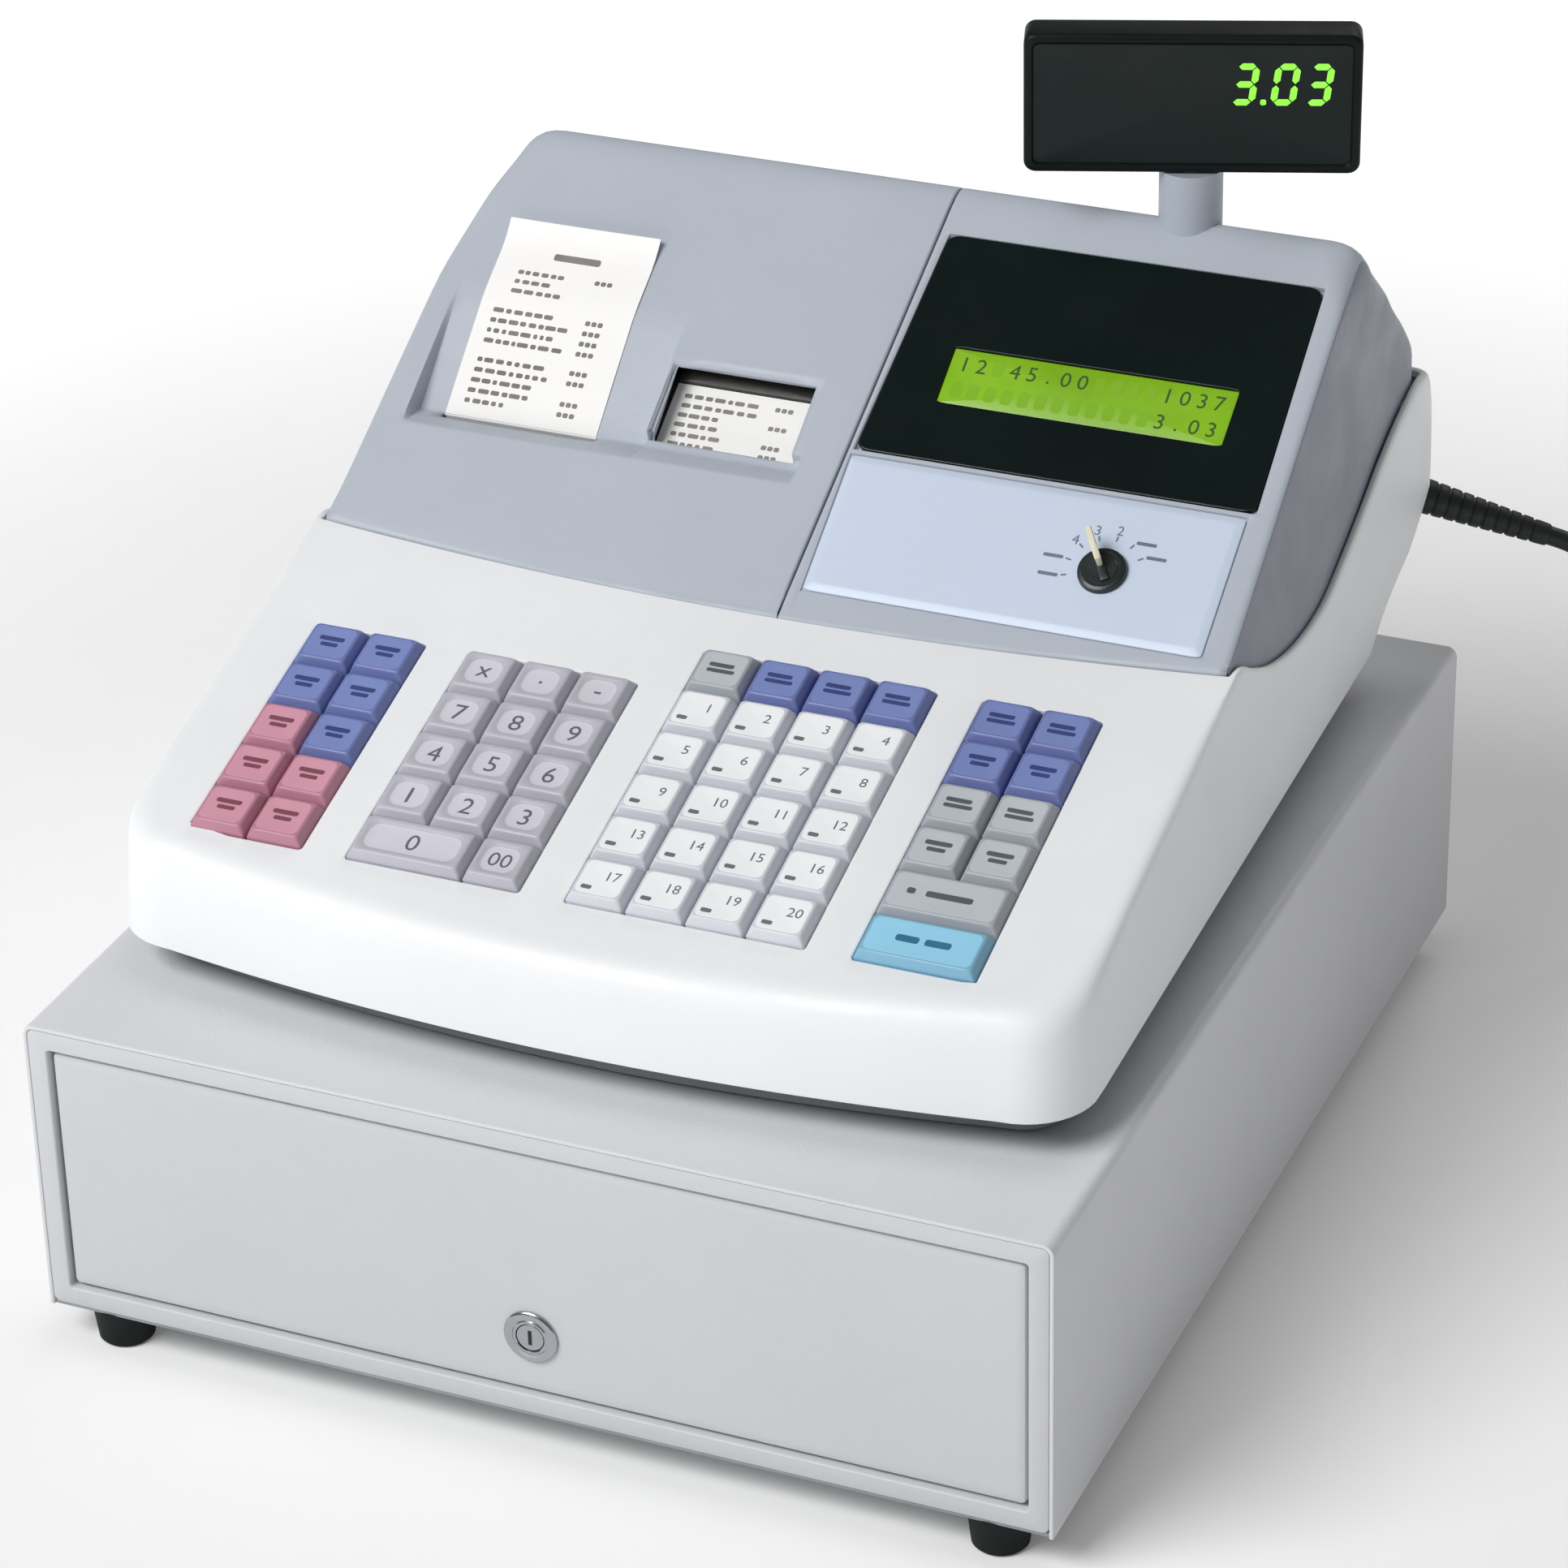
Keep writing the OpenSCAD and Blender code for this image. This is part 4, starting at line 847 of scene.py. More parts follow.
# The housing's crest and back, and the lower edge of its sides, as depth and height
CREST = np.array([(112.0, 304.74), (119.0, 309.3), (122.5, 311.2), (126.5, 312.2), (130.5, 310.7),
                  (140.0, 301.5), (148.0, 294.6), (156.0, 287.5), (162.77, 279.79), (173.0, 268.0),
                  (180.0, 258.4), (187.0, 248.0), (192.6, 239.4), (194.5, 235.2), (194.5, 230.0),
                  (194.5, 225.0)])
LOWER_EDGE = [(-5, 208), (0, 205.5), (18, 197.5), (40, 191.5), (62, 189.5), (82, 191.5),
              (100, 198), (122, 207), (143, 217), (165, 225), (195, 225)]
# Seam between cover and console: where it starts and its drift to the right
COVER_SEAM_X, COVER_SEAM_DRIFT = 8.8, 0.0545
# Front wall: its rows, the heights of the lowest two, and how far its rounding reaches down
# the wall and up the face
FRONT_ROWS, FRONT_LOW, FRONT_ROUND, FACE_ROUND = 7, (208.6, 211.0), 1.6, 2.2
# Least rounding of the housing's side edges
LEAST_R = 0.6


def housing_half(y, z, side=-1):
    """Half width of the housing at height z, less its round rear corners.

    Each side leans in evenly, the printer's more than the one beside the displays, and above
    its shoulder the printer's side bends further in along a hyperbola. The corners are
    quarters of a circle.
    """
    corner = np.clip(y - REAR_CORNER_Y, 0, REAR_CORNER_R - 0.1)
    z = np.asarray(z, float)
    lean = SIDE_LEAN[side] * (z - HALF_WIDTH_Z)
    if side < 0:
        lean = lean + SHOULDER_LEAN * (z - SHOULDER_Z + np.hypot(z - SHOULDER_Z, SHOULDER_ROUND))
    return HALF_WIDTH - lean - (REAR_CORNER_R - np.sqrt(REAR_CORNER_R ** 2 - corner ** 2))


def seam_at(y):
    """Where the straight seam between cover and console runs at a depth."""
    return COVER_SEAM_X + COVER_SEAM_DRIFT * (y - FRONT_Y)


def crest_path(knots, steps):
    """Points and outward normals along a curve through the knots, spaced by chord length."""
    step = np.hypot(*np.diff(knots, axis=0).T)
    t = np.concatenate([[0], np.cumsum(step)])
    u = np.linspace(0, t[-1], steps)
    y = smooth_curve(np.stack([t, knots[:, 0]], -1), u)
    z = smooth_curve(np.stack([t, knots[:, 1]], -1), u)
    dy, dz = np.gradient(y, u), np.gradient(z, u)
    size = np.hypot(dy, dz)
    return np.stack([y, z], -1), np.stack([-dz / size, dy / size], -1)


def around(lines, spread=(-0.7, -0.35, -0.12, 0.12, 0.35, 0.7)):
    """Grid lines close together on both sides of each edge."""
    return sorted(set(np.round(np.concatenate([[e + d for d in spread] for e in lines]), 3)))


def within(value, span):
    """Whether each value lies between the two ends of a span."""
    return (value > span[0]) & (value < span[1])


def soften(height, x, s, reach=0.45):
    """Mean of a height over a small square, which rounds its edges."""
    steps = np.linspace(-reach, reach, 5)
    return sum(height(x + dx, s + ds) for dx in steps for ds in steps) / 25


class FaceSheet:
    """The sloping face, crest and back of the housing as one sheet.

    Rows run from the foot of the front wall up the face, over the crest and down the back;
    columns run across. Each point is a place on that outline, moved out by a small height.
    """

    def __init__(self, face_rows, crest, edge_r, crest_r):
        self.crest_yz, self.crest_n = crest
        self.s = np.array(face_rows)
        self.crest_row = FRONT_ROWS + len(self.s)
        self.face = slice(FRONT_ROWS, self.crest_row)
        self.edge_r, self.crest_r = edge_r, crest_r

    def place(self, x, n):
        """Points of the sheet for x and n [row, column].

        The front wall follows the bowed seam and leans forward as it rises, and a quadratic
        curve rounds it into the face.
        """
        bow = SEAM_BOW * (x[:FRONT_ROWS + 1] / HALF_WIDTH) ** 2
        edge_z = FRONT_TOP + FRONT_TOP_RISE * bow

        def on_wall(k, z):
            return stack(x[k], FRONT_Y + bow[k] - FRONT_LEAN * (z - FRONT_Z), z)

        up_face = FACE_ROUND * np.array([0, math.cos(FACE_SLOPE), math.sin(FACE_SLOPE)])
        rows = [on_wall(k, z) for k, z in enumerate(FRONT_LOW)]
        for k, t in enumerate(np.linspace(0, 1, FRONT_ROWS - len(rows)), len(rows)):
            edge = on_wall(k, edge_z[k])
            rows.append(on_bend(on_wall(k, edge_z[k] - FRONT_ROUND), edge, edge + up_face, t))
        face = on_face(x[self.face], self.s[:, None], n[self.face])
        rest = slice(self.crest_row, None)
        y = self.crest_yz[:, :1] + self.crest_n[:, :1] * n[rest]
        z = self.crest_yz[:, 1:] + self.crest_n[:, 1:] * n[rest]
        return np.concatenate([np.array(rows), face, stack(x[rest], y, z)])

    def middle(self):
        """Depth and height of each row's middle line, for the widths and the side walls."""
        front = np.tile((FACE_ORIGIN[0], FRONT_Z), (FRONT_ROWS, 1))
        return np.concatenate([front, on_face(0, self.s, 0)[:, 1:], self.crest_yz]).T

    def edge(self):
        """Rounding of the side edge at each row: fine on the face, wide at the crest."""
        y = self.middle()[0]
        r = mix(self.edge_r, self.crest_r, ease((y - 98) / 26))
        r = r - (self.crest_r - 3.5) * ease((y - 160) / 30) * (self.crest_r > 4)
        fade = ease((np.arange(len(y)) - FRONT_ROWS + 1) / 4)
        return np.maximum(mix(LEAST_R, r, fade), LEAST_R)

    def side_wall(self, sheet, side, steps=7):
        """Rounded side edge and side wall below each row, down to the lower outline.

        sheet is the placed grid; its outermost column starts the rounding. The wall narrows
        with height, and where the front leans forward it stops on the leaning line.
        """
        start = sheet[:, -1] if side > 0 else sheet[:, 0]
        reach_x, y, z = np.abs(start[:, 0]), start[:, 1], start[:, 2]
        floor = np.interp(y, *np.array(LOWER_EDGE).T)
        leaning = FRONT_Z + (-15.3 - y) / FRONT_LEAN
        floor = np.maximum(floor, np.where(y < -11, leaning, 0))
        floor[:FRONT_ROWS] = z[:FRONT_ROWS]
        floor = np.minimum(floor, z)
        under = z - np.minimum(self.edge(), (z - floor) * 0.5)
        corner = stack(side * np.maximum(housing_half(y, z, side), reach_x), y, z)
        end = stack(side * np.maximum(housing_half(y, under, side), reach_x), y, under)
        corner[:FRONT_ROWS] = end[:FRONT_ROWS] = start[:FRONT_ROWS]
        strips = list(bend(start, corner, end, 6))
        for share in np.linspace(0, 1, steps)[1:]:
            low = mix(end[:, 2], floor, share)
            wide = np.maximum(housing_half(y, low, side), np.abs(end[:, 0]) - 0.02)
            wide[:FRONT_ROWS] = reach_x[:FRONT_ROWS]
            strips.append(stack(side * wide, y, low))
        strips = np.array(strips).transpose(1, 0, 2)
        return strips if side > 0 else strips[:, ::-1]


def spread_columns(fixed, left, right, lead_in=4, lead_out=4):
    """Columns [row, column] from the row's own left limit, through fixed ones, to its right.

    fixed may be one list for all rows or one list for each row.
    """
    fixed = np.asarray(fixed, float)
    if fixed.ndim == 1:
        fixed = np.broadcast_to(fixed, (len(left), len(fixed)))
    t = np.linspace(0, 1, lead_in + 1)[:-1]
    u = np.linspace(0, 1, lead_out + 1)[1:]
    first = mix(left[:, None], fixed[:, :1], t)
    last = mix(fixed[:, -1:], right[:, None], u)
    return np.concatenate([first, fixed, last], 1)


def cover_height(depth):
    """Height of the printer cover's face: a receipt recess that rises from its slot, and a
    shallow ramp that leads to the journal's window."""

    def height(x, s):
        recess = np.interp(s, [40, *RECESS_S], [0.5, -depth, 0.5])
        ramp = np.interp(s, [40, *RAMP_S, RAMP_S[1] + 0.2], [0.5, -4, -4, 0.5])
        in_ramp = (x >= RAMP_X[0]) & (x < RAMP_X[1])
        low = np.minimum(np.where(within(x, RECESS_X), recess, 0), np.where(in_ramp, ramp, 0))
        return low.clip(None, 0)

    return height


class REGISTER_OT_printer_cover(bpy.types.Operator):
    """Moulds the hinged printer cover with its receipt recess and journal window"""
    bl_idname = "register.printer_cover"
    bl_label = "Printer cover"

    def execute(self, context):
        sizes = context.scene.register_housing
        rows = [1.4, 6, 12, 20, 28, 36, 39.6, 40.2, 40.7, 41.3, 42, 44, 45.6, 47.2, 47.6, 48.2,
                49, 50, 50.4, 51, 51.6, 51.9, 52.1, 52.5, 54, 58, 63, 68, 74, 80.5, 84, 90, 96,
                102, 108, 114, 120, 126, 128.6, 129.4, 130.2, 134, 140, 146]
        # Over the crest, then round the hinge's barrel
        crest_yz, crest_n = crest_path(CREST[:9], 26)
        t = np.radians(np.linspace(41.1, -70, 12))[1:]
        turn = np.stack([np.cos(t), np.sin(t)], -1)
        crest = (np.concatenate([crest_yz, HINGE + HINGE_R * turn]),
                 np.concatenate([crest_n, turn]))
        sheet = FaceSheet(rows, crest, mm(sizes.edge_round), mm(sizes.crest_round))
        y, z = sheet.middle()
        left = -(housing_half(y, z) - sheet.edge())
        gaps = [(k - 0.5, k + KNUCKLE + 0.5) for k in KNUCKLES]
        fixed = sorted(set(around(RECESS_X)
                           + [-145, SLOT_X[0], -132, -124, -116, -108, *np.ravel(gaps), -94,
                              SLOT_X[1], -76, -70, -65, -63.3, -62.9, WINDOW_X[0], -44, -31, -25,
                              -16, WINDOW_X[1], -4.3, -3.8, -3, 0]))
        # Where the crest's rounding is wide, the columns left of the recess close up
        fixed = np.broadcast_to(fixed, (len(y), len(fixed)))
        share = np.minimum((-104 - left - 1.5) / (-104 - fixed[:, 0]), 1)[:, None]
        fixed = np.where(fixed < -104, -104 + (fixed + 104) * share, fixed)
        seam = seam_at(y) - 0.6
        columns = spread_columns(fixed, left, seam - 1.0, 4, 3)
        columns = np.concatenate([columns, seam[:, None] - (0.62, 0.3, 0.1, 0.0, 0.0)], 1)
        height = np.zeros_like(columns)
        height[sheet.face] = soften(cover_height(mm(sizes.recess)), columns[sheet.face],
                                    sheet.s[:, None])
        height[:, -5:] += (-0.06, -0.24, -0.5, -1.0, -3.4)
        points = sheet.place(columns, height)

        # Openings: the receipt's slot, the journal's window and the gaps for the knuckles
        cells_x = 0.5 * (columns[0, 1:] + columns[0, :-1])
        cells_y = 0.5 * (y[1:] + y[:-1])
        cells_s = np.full(len(cells_y), -1.0)
        cells_s[FRONT_ROWS:sheet.crest_row - 1] = 0.5 * (sheet.s[1:] + sheet.s[:-1])
        behind = (np.arange(len(cells_y)) > sheet.crest_row) & (cells_y > 157)
        openings = np.outer(within(cells_s, SLOT_S), within(cells_x, SLOT_X))
        openings |= np.outer(within(cells_s, WINDOW_S), within(cells_x, WINDOW_X))
        for gap in gaps:
            openings |= np.outer(behind, within(cells_x, gap))
        skin = Form()
        skin.grid(points, keep=~openings)
        # The side wall ends where the hinge's barrel turns back under itself
        skin.grid(sheet.side_wall(points, -1)[:int(np.argmax(y)) + 1])
        skin.piece("printer_cover_shell", [housing_grey()], "printer_cover", ["printer_cover"],
                   "housing_grey", outward=(0, -0.3, 1), thickness=WALL, smooth=30)
        return {"FINISHED"}


# The mode panel's pocket across the face, the foot and the top of the display window, and how
# the window's edges stand off from the panel's and lean as they rise
PANEL_X, PANEL_S, WINDOW_FOOT, WINDOW_TOP = (14, 155), (2, 56), 58.5, 148
WINDOW_STEP, WINDOW_LEAN = (0.5, 2), (0.0615, -0.0223)


def pocket_edges(s, share):
    """Left and right edge of a pocket at s: the mode panel's where share is 0, the display
    window's where it is 1."""
    return [edge + share * (step + (s - WINDOW_FOOT) * lean)
            for edge, step, lean in zip(PANEL_X, WINDOW_STEP, WINDOW_LEAN)]


def pockets(x, s):
    """Depth of the face's pockets for the mode panel and the display window."""
    left, right = pocket_edges(s, s > 57.4)
    inside = within(x, (left - 0.5, right + 0.5))
    deep = np.where(within(s, (WINDOW_FOOT - 0.2, WINDOW_TOP + 0.2)), -2.0, 0.0)
    deep = np.where(within(s, (PANEL_S[0] - 0.6, PANEL_S[1] + 0.5)), -0.8, deep)
    return np.where(inside, deep, 0.0)


class REGISTER_OT_housing(bpy.types.Operator):
    """Moulds the display console, the bridge behind the printer and the hinge"""
    bl_idname = "register.housing"
    bl_label = "Display console"

    def execute(self, context):
        sizes = context.scene.register_housing
        rows = [1.2, 1.4, 1.6, 6, 14, 24, 34, 44, 52, 56.3, 56.5, 56.7, 57.5, 58.1, 58.3, 58.5,
                62, 70, 80, 90, 100, 110, 120, 130, 140, 147.9, 148.2, 148.4]
        crest = crest_path(CREST, 46)
        sheet = FaceSheet(rows, crest, mm(sizes.edge_round), mm(sizes.crest_round))
        y, z = sheet.middle()
        s = np.zeros(len(y))
        s[sheet.face] = sheet.s
        s[sheet.crest_row:] = 149
        left_edge, right_edge = pocket_edges(s, ease((s - 56.4) / 2.0))
        right = housing_half(y, z, 1) - sheet.edge()
        right_edge = np.minimum(right_edge, right - 1.5)
        offsets = np.array([-0.6, -0.45, -0.2, 0.3])
        across = np.linspace(0, 1, 10)[1:-1]
        fixed = np.concatenate([left_edge[:, None] + offsets,
                                left_edge[:, None] + (right_edge - left_edge)[:, None] * across,
                                right_edge[:, None] - offsets[::-1]], 1)
        seam = seam_at(y)
        columns = np.concatenate([seam[:, None] + (0, 0.05, 0.18, 0.42, 0.8),
                                  spread_columns(fixed, seam + 1.2, right, 2, 3)], 1)
        height = np.zeros_like(columns)
        height[sheet.face] = soften(pockets, columns[sheet.face], sheet.s[:, None], 0.12)
        height[:, :5] += (-3.4, -0.8, -0.35, -0.1, -0.02)
        points = sheet.place(columns, height)
        skin = Form()
        skin.grid(points)
        wall = sheet.side_wall(points, 1)
        # The upper part of the edge's rounding keeps the housing grey; the rest of the rounding
        # and the side wall take a darker copy of it, painted shade on the side turned from the
        # light
        skin.grid(wall[:, :5])
        skin.grid(wall[:, 4:], finish=1)

        # The bridge: the back of the housing, carried on to the left side
        start = int(np.where((y > 163) & (np.arange(len(y)) > sheet.crest_row))[0][0])
        part = slice(start, None)
        left = -(housing_half(y[part], z[part]) - sheet.edge()[part])
        bridge_cols = spread_columns(np.linspace(-140, -10, 9), left, seam[part], 3, 2)
        yz = crest[0][start - sheet.crest_row:]
        bridge = stack(bridge_cols, yz[:, :1], yz[:, 1:])
        skin.grid(bridge)
        # The rows before the bridge only keep its place in the sheet
        before = np.zeros((start, bridge.shape[1], 3)) + 1e-3 * np.arange(start)[:, None, None]
        skin.grid(sheet.side_wall(np.concatenate([before, bridge]), -1)[part])
        # A darker copy of the housing grey: painted shade on the right side wall
        shaded_side_paint = finish("housing_side", "868b96", rough=0.5, grain=1500, relief=0.18,
                            mottle=0.015)
        skin.piece("display_console_shell", [housing_grey(), shaded_side_paint], "register",
                   ["top_housing"], "housing_grey", outward=(0, -0.3, 1), thickness=WALL,
                   smooth=30)
        self.inner_walls()
        return {"FINISHED"}

    def inner_walls(self):
        """The partition beside the printer, the wall behind it, and the hinge's knuckles, pin
        and lugs."""
        inner = Form()
        yy = np.array([-19.0, 0, 40, 80, 121, 140, 163])
        roof = np.interp(yy, [-25, 121, 126, 163], [212.5, 307.0, 306.0, 275.0])
        low = np.interp(yy, *np.array(LOWER_EDGE).T) + 1
        low[0] = 209
        loops = np.array([np.concatenate([stack(seam_at(yy) + x_off, yy, roof),
                                          stack(seam_at(yy) + x_off, yy, low)[::-1]])
                          for x_off in (0.3, WALL)])
        inner.grid(loops, close_cols=True)
        for loop in loops:
            inner.grid(np.array([loop[:len(yy)], loop[len(yy):][::-1]]))
        zz = np.array([197.0, 198.0, 275.0, 276.0])
        left, right = -(housing_half(166, zz) - 1.5), seam_at(168) + 1
        inner.lathe(np.stack([stack(left, 165.7, zz), stack(right, 165.7, zz),
                              stack(right, 167.8, zz), stack(left, 167.8, zz)], 1))
        for x in KNUCKLES:
            a = np.radians(np.linspace(-60, 210, 22))
            loop_y = np.append(HINGE[0] + HINGE_R * np.cos(a), [166.4, 166.4])
            loop_z = np.append(HINGE[1] + HINGE_R * np.sin(a), [262, 275])
            order = np.argsort(np.arctan2(loop_z - HINGE[1] + 2, loop_y - HINGE[0]))
            inner.lathe(np.array([stack(x + d, loop_y[order], loop_z[order])
                                  for d in (0, KNUCKLE)]))
        inner.lathe(turned((-140, *HINGE), (1, 0, 0), [(0, 2.2), (0.4, 2.5), (157.5, 2.5)], 24))
        for side in (-1, 1):
            x = sorted((side * 161.5, side * 166.3))
            inner.block((x[0], 170, 226), (x[1], 180, 234))
        inner.piece("housing_inner_walls", [housing_grey()], "register", ["top_housing"],
                    "housing_grey")


# --- Keys --------------------------------------------------------------------------------------

KEY_TONES = {
    # sides, face and print of each kind of key; each side tone is a darker copy of the face's
    # plastic, painted shade on the key's sides
    "key_blue": ("6b77ae", "7b8ac2", "33427a"), "key_pink": ("b87f92", "d397aa", "7c4557"),
    "key_lavender": ("bab9c3", "d3d2dc", "666573"), "key_white": ("d0d3da", "f4f6f8", "6c7179"),
    "key_grey": ("a6abb2", "bfc4ca", "555a62"), "key_cyan": ("7fb2cc", "96d2ee", "2f6f8c"),
}
KEY_GROUPS = [
    # node, kind, [(block, column, row, width, mark)]; a grey key among blue ones ends in g
    ("keys_blue", "key_blue", [("a", 0, 4, 1, "=1"), ("a", 1, 4, 1, "=1"), ("a", 0, 3, 1, "=1"),
                               ("a", 1, 3, 1, "=1"), ("a", 1, 2, 1, "=1")]),
    ("keys_pink", "key_pink", [("a", 0, 2, 1, "=1"), ("a", 0, 1, 1, "=1"), ("a", 1, 1, 1, "=1"),
                               ("a", 0, 0, 1, "=1"), ("a", 1, 0, 1, "=1")]),
    ("keys_number_1", "key_lavender",
     [("b", 0, j + 1, 1, text) for j, text in enumerate("147x")]),
    ("keys_number_2", "key_lavender",
     [("b", 1, j + 1, 1, text) for j, text in enumerate("258.")]),
    ("keys_number_3", "key_lavender",
     [("b", 2, j, 1, text) for j, text in enumerate(("00", "3", "6", "9", "-"))]),
    ("key_zero", "key_lavender", [("b", 0, 0, 2, "0")]),
    ("keys_function", "key_blue", [("c", 0, 5, 1, "=2g"), ("c", 1, 5, 1, "=2"),
                                   ("c", 2, 5, 1, "=2"), ("c", 3, 5, 1, "=2")]),
    *((f"keys_item_{i + 1}", "key_white",
       [("c", i, j, 1, f"#{17 + i - 4 * j}") for j in range(5)]) for i in range(4)),
    ("keys_tender_blue", "key_blue", [("d", 0, 5, 1, "=2"), ("d", 1, 5, 1, "=2"),
                                      ("d", 0, 4, 1, "=1"), ("d", 1, 4, 1, "=1")]),
    ("keys_tender_grey", "key_grey", [("d", 0, 3, 1, "=2"), ("d", 1, 3, 1, "=2"),
                                      ("d", 0, 2, 1, "=1"), ("d", 1, 2, 1, "=1")]),
    ("key_subtotal", "key_grey", [("d", 0, 1, 2, "=3")]),
    ("key_total", "key_cyan", [("d", 0, 0, 2, "=4")]),
]


# How far a key stands in from its place in the block
KEY_INSET = 0.5
# Hollow of a key's face: its rings, as shares of the way from the middle to the rim
DISH_SHARES = (0.8, 0.58, 0.34, 0.12)


def glyph(text):
    """Points and faces of a number or sign as a solid, about its own middle, one unit high."""
    data = bpy.data.curves.new("glyph", "FONT")
    data.body, data.align_x, data.align_y = text, "CENTER", "CENTER"
    data.extrude, data.resolution_u = 0.01, 3
    holder = bpy.data.objects.new("glyph", data)
    bpy.context.scene.collection.objects.link(holder)
    bpy.context.view_layer.update()
    mesh = bpy.data.meshes.new_from_object(
        holder.evaluated_get(bpy.context.evaluated_depsgraph_get()))
    points = np.empty(3 * len(mesh.vertices))
    mesh.vertices.foreach_get("co", points)
    points = points.reshape(-1, 3)
    faces = [list(p.vertices) for p in mesh.polygons]
    bpy.data.objects.remove(holder)
    bpy.data.meshes.remove(mesh)
    points[:, :2] -= 0.5 * (points[:, :2].max(0) + points[:, :2].min(0))
    return points, faces


GLYPHS = {}


def write(form, text, place, at, size, finish):
    """Adds a number, drawn size high about a point; place turns flat points into solid ones."""
    if text not in GLYPHS:
        GLYPHS[text] = glyph(text)
    points, faces = GLYPHS[text]
    scaled = points[:, :2] * size + at
    points = place(scaled[:, 0], scaled[:, 1], np.where(points[:, 2] > 0, 1.0, 0.0))
    form.points.append(points)
    form.faces.extend([[form.count + i for i in f] for f in faces])
    form.finish.extend([finish] * len(faces))
    form.count += len(points)


def raised(form, place, loop, finish):
    """A printed mark: a flat loop carried from level 0 to level 1 by place, and closed."""
    form.lathe(np.array([set_at(place, loop, level) for level in (0, 1)]), finish)


def dash(form, place, low, high, finish):
    """A flat printed bar with round corners."""
    low, high = np.asarray(low, float), np.asarray(high, float)
    raised(form, place, rounded_loop(low, high, min(high - low) * 0.3, 2), finish)


def key_cap(form, block, col, row, width, sizes, deep, shift=0):
    """One key: a skirt, leaning sides, a rounded rim and a hollowed face, as rounded
    rectangles carried up and in. Gives the face's middle and the place of any print on it."""
    low = np.array([BLOCK_LEFT[block] + col * KEY_PX, BLOCK_FOOT + row * KEY_PY]) + KEY_INSET
    high = low + (width * KEY_PX - 2 * KEY_INSET, KEY_PY - 2 * KEY_INSET)
    top, lean = mm(sizes.height), mm(sizes.shoulder)
    dish = mm(sizes.deep_dish if deep else sizes.dish)
    rows = [(0, -4.0, 0.7), (0, -0.1, 0.7), (lean * 0.25, 0.8, 0.9), (lean * 0.72, top - 0.7, 1.3),
            (lean * 0.86, top - 0.28, 1.6), (lean + 0.15, top - 0.06, 1.9),
            (lean + 0.6, top, 2.2)]
    if deep:
        rows += [(lean + 1.1, top - 0.04, 2.6), (lean + 1.6, top - 0.3 * dish, 3.2),
                 (lean + 2.3, top - 0.68 * dish, 3.6)]
    rings = [(low + inset, high - inset, radius, n) for inset, n, radius in rows]
    loops = list(ring_stack(on_keyboard, rings, 4))
    rim_inset, rim_n, rim_radius = rows[-1]
    middle, half = 0.5 * (low + high), 0.5 * (high - low) - rim_inset
    rim = rounded_loop(low + rim_inset, high - rim_inset, rim_radius, 4)
    floor = top - dish

    def face(share):
        """Height of the hollow: it rises to the rim with the square of the way out."""
        return floor + (rim_n - floor) * share * share

    loops += [set_at(on_keyboard, middle + (rim - middle) * share, face(share))
              for share in DISH_SHARES]
    # Skirt and sides take the darker side tone, painted shade; the rim and the hollow take the
    # face's tone
    form.grid(np.array(loops[:len(rows)]), close_cols=True, finish=shift)
    form.lid(loops[0][::-1], shift)
    form.grid(np.array(loops[len(rows) - 1:]), close_cols=True, finish=shift + 2)
    form.lid(loops[-1], shift + 2)

    def printed(x, s, k):
        share = np.maximum(np.abs(x - middle[0]) / half[0], np.abs(s - middle[1]) / half[1])
        return on_keyboard(x, s, face(np.clip(share, 0, 1)) - 0.06 + 0.1 * np.asarray(k))

    return middle, printed


KEY_BARS = {
    "1": [(-4.6, 1.0, 4.6, 2.9), (-3.2, -1.7, 3.2, 0.0)],
    "2": [(-4.9, 0.9, 3.9, 2.7), (-4.9, -1.7, 4.9, -0.1)],
    "3": [(-13, -1.0, -10.2, 1.5), (-6.6, -1.0, 9.2, 1.5)],
    "4": [(-9.2, -1.2, -1.4, 1.6), (0.6, -1.2, 9.4, 1.6)],
}


def key_legend(form, legend, middle, printed, shift=0):
    """Plain numbers on the number keys, small numbers on the white keys and bars elsewhere."""
    x, s = middle
    if legend.startswith("#"):
        write(form, legend[1:], printed, (x + 3.2, s + 1.6), 5.6, 1)
        dash(form, printed, (x - 6.0, s - 5.2), (x - 2.4, s - 3.4), 1)
    elif legend.startswith("="):
        for a, b, c, d in KEY_BARS[legend[1]]:
            dash(form, printed, (x + a, s + b), (x + c, s + d), shift + 1)
    else:
        write(form, legend, printed, (x, s), 10.0 if legend != "00" else 8.5, 1)


class REGISTER_OT_keys(bpy.types.Operator):
    """Moulds the key caps with their printed numbers and marks"""
    bl_idname = "register.keys"
    bl_label = "Keys"

    def materials(self, kind):
        side, face, mark = KEY_TONES[kind]
        facts = dict(grain=1900, relief=0.12, mottle=0.03)
        # The sides take the darker copy of the face's colour: painted shade on the key's sides
        return [finish(kind, side, rough=0.42, **facts),
                finish(kind + "_print", mark, rough=0.5, **facts),
                finish(kind + "_face", face, rough=0.4, **facts)]

    def execute(self, context):
        sizes = context.scene.register_keys
        for node, kind, caps in KEY_GROUPS:
            form = Form()
            materials = self.materials(kind)
            if any(mark.endswith("g") for *_, mark in caps):
                materials += self.materials("key_grey")
            for block, col, row, width, mark in caps:
                shift = 3 if mark.endswith("g") else 0
                middle, printed = key_cap(form, block, col, row, width, sizes,
                                          kind == "key_lavender", shift)
                key_legend(form, mark, middle, printed, shift)
            form.piece(node + "_caps", materials, node, [node], kind, smooth=38)
        return {"FINISHED"}


# --- Displays, mode panel and papers ---------------------------------------------------------

SEGMENTS = {"0": "abcdef", "1": "bc", "2": "abged", "3": "abgcd", "4": "fgbc", "5": "afgcd",
            "6": "afgedc", "7": "abc", "8": "abcdefg", "9": "abcdfg"}
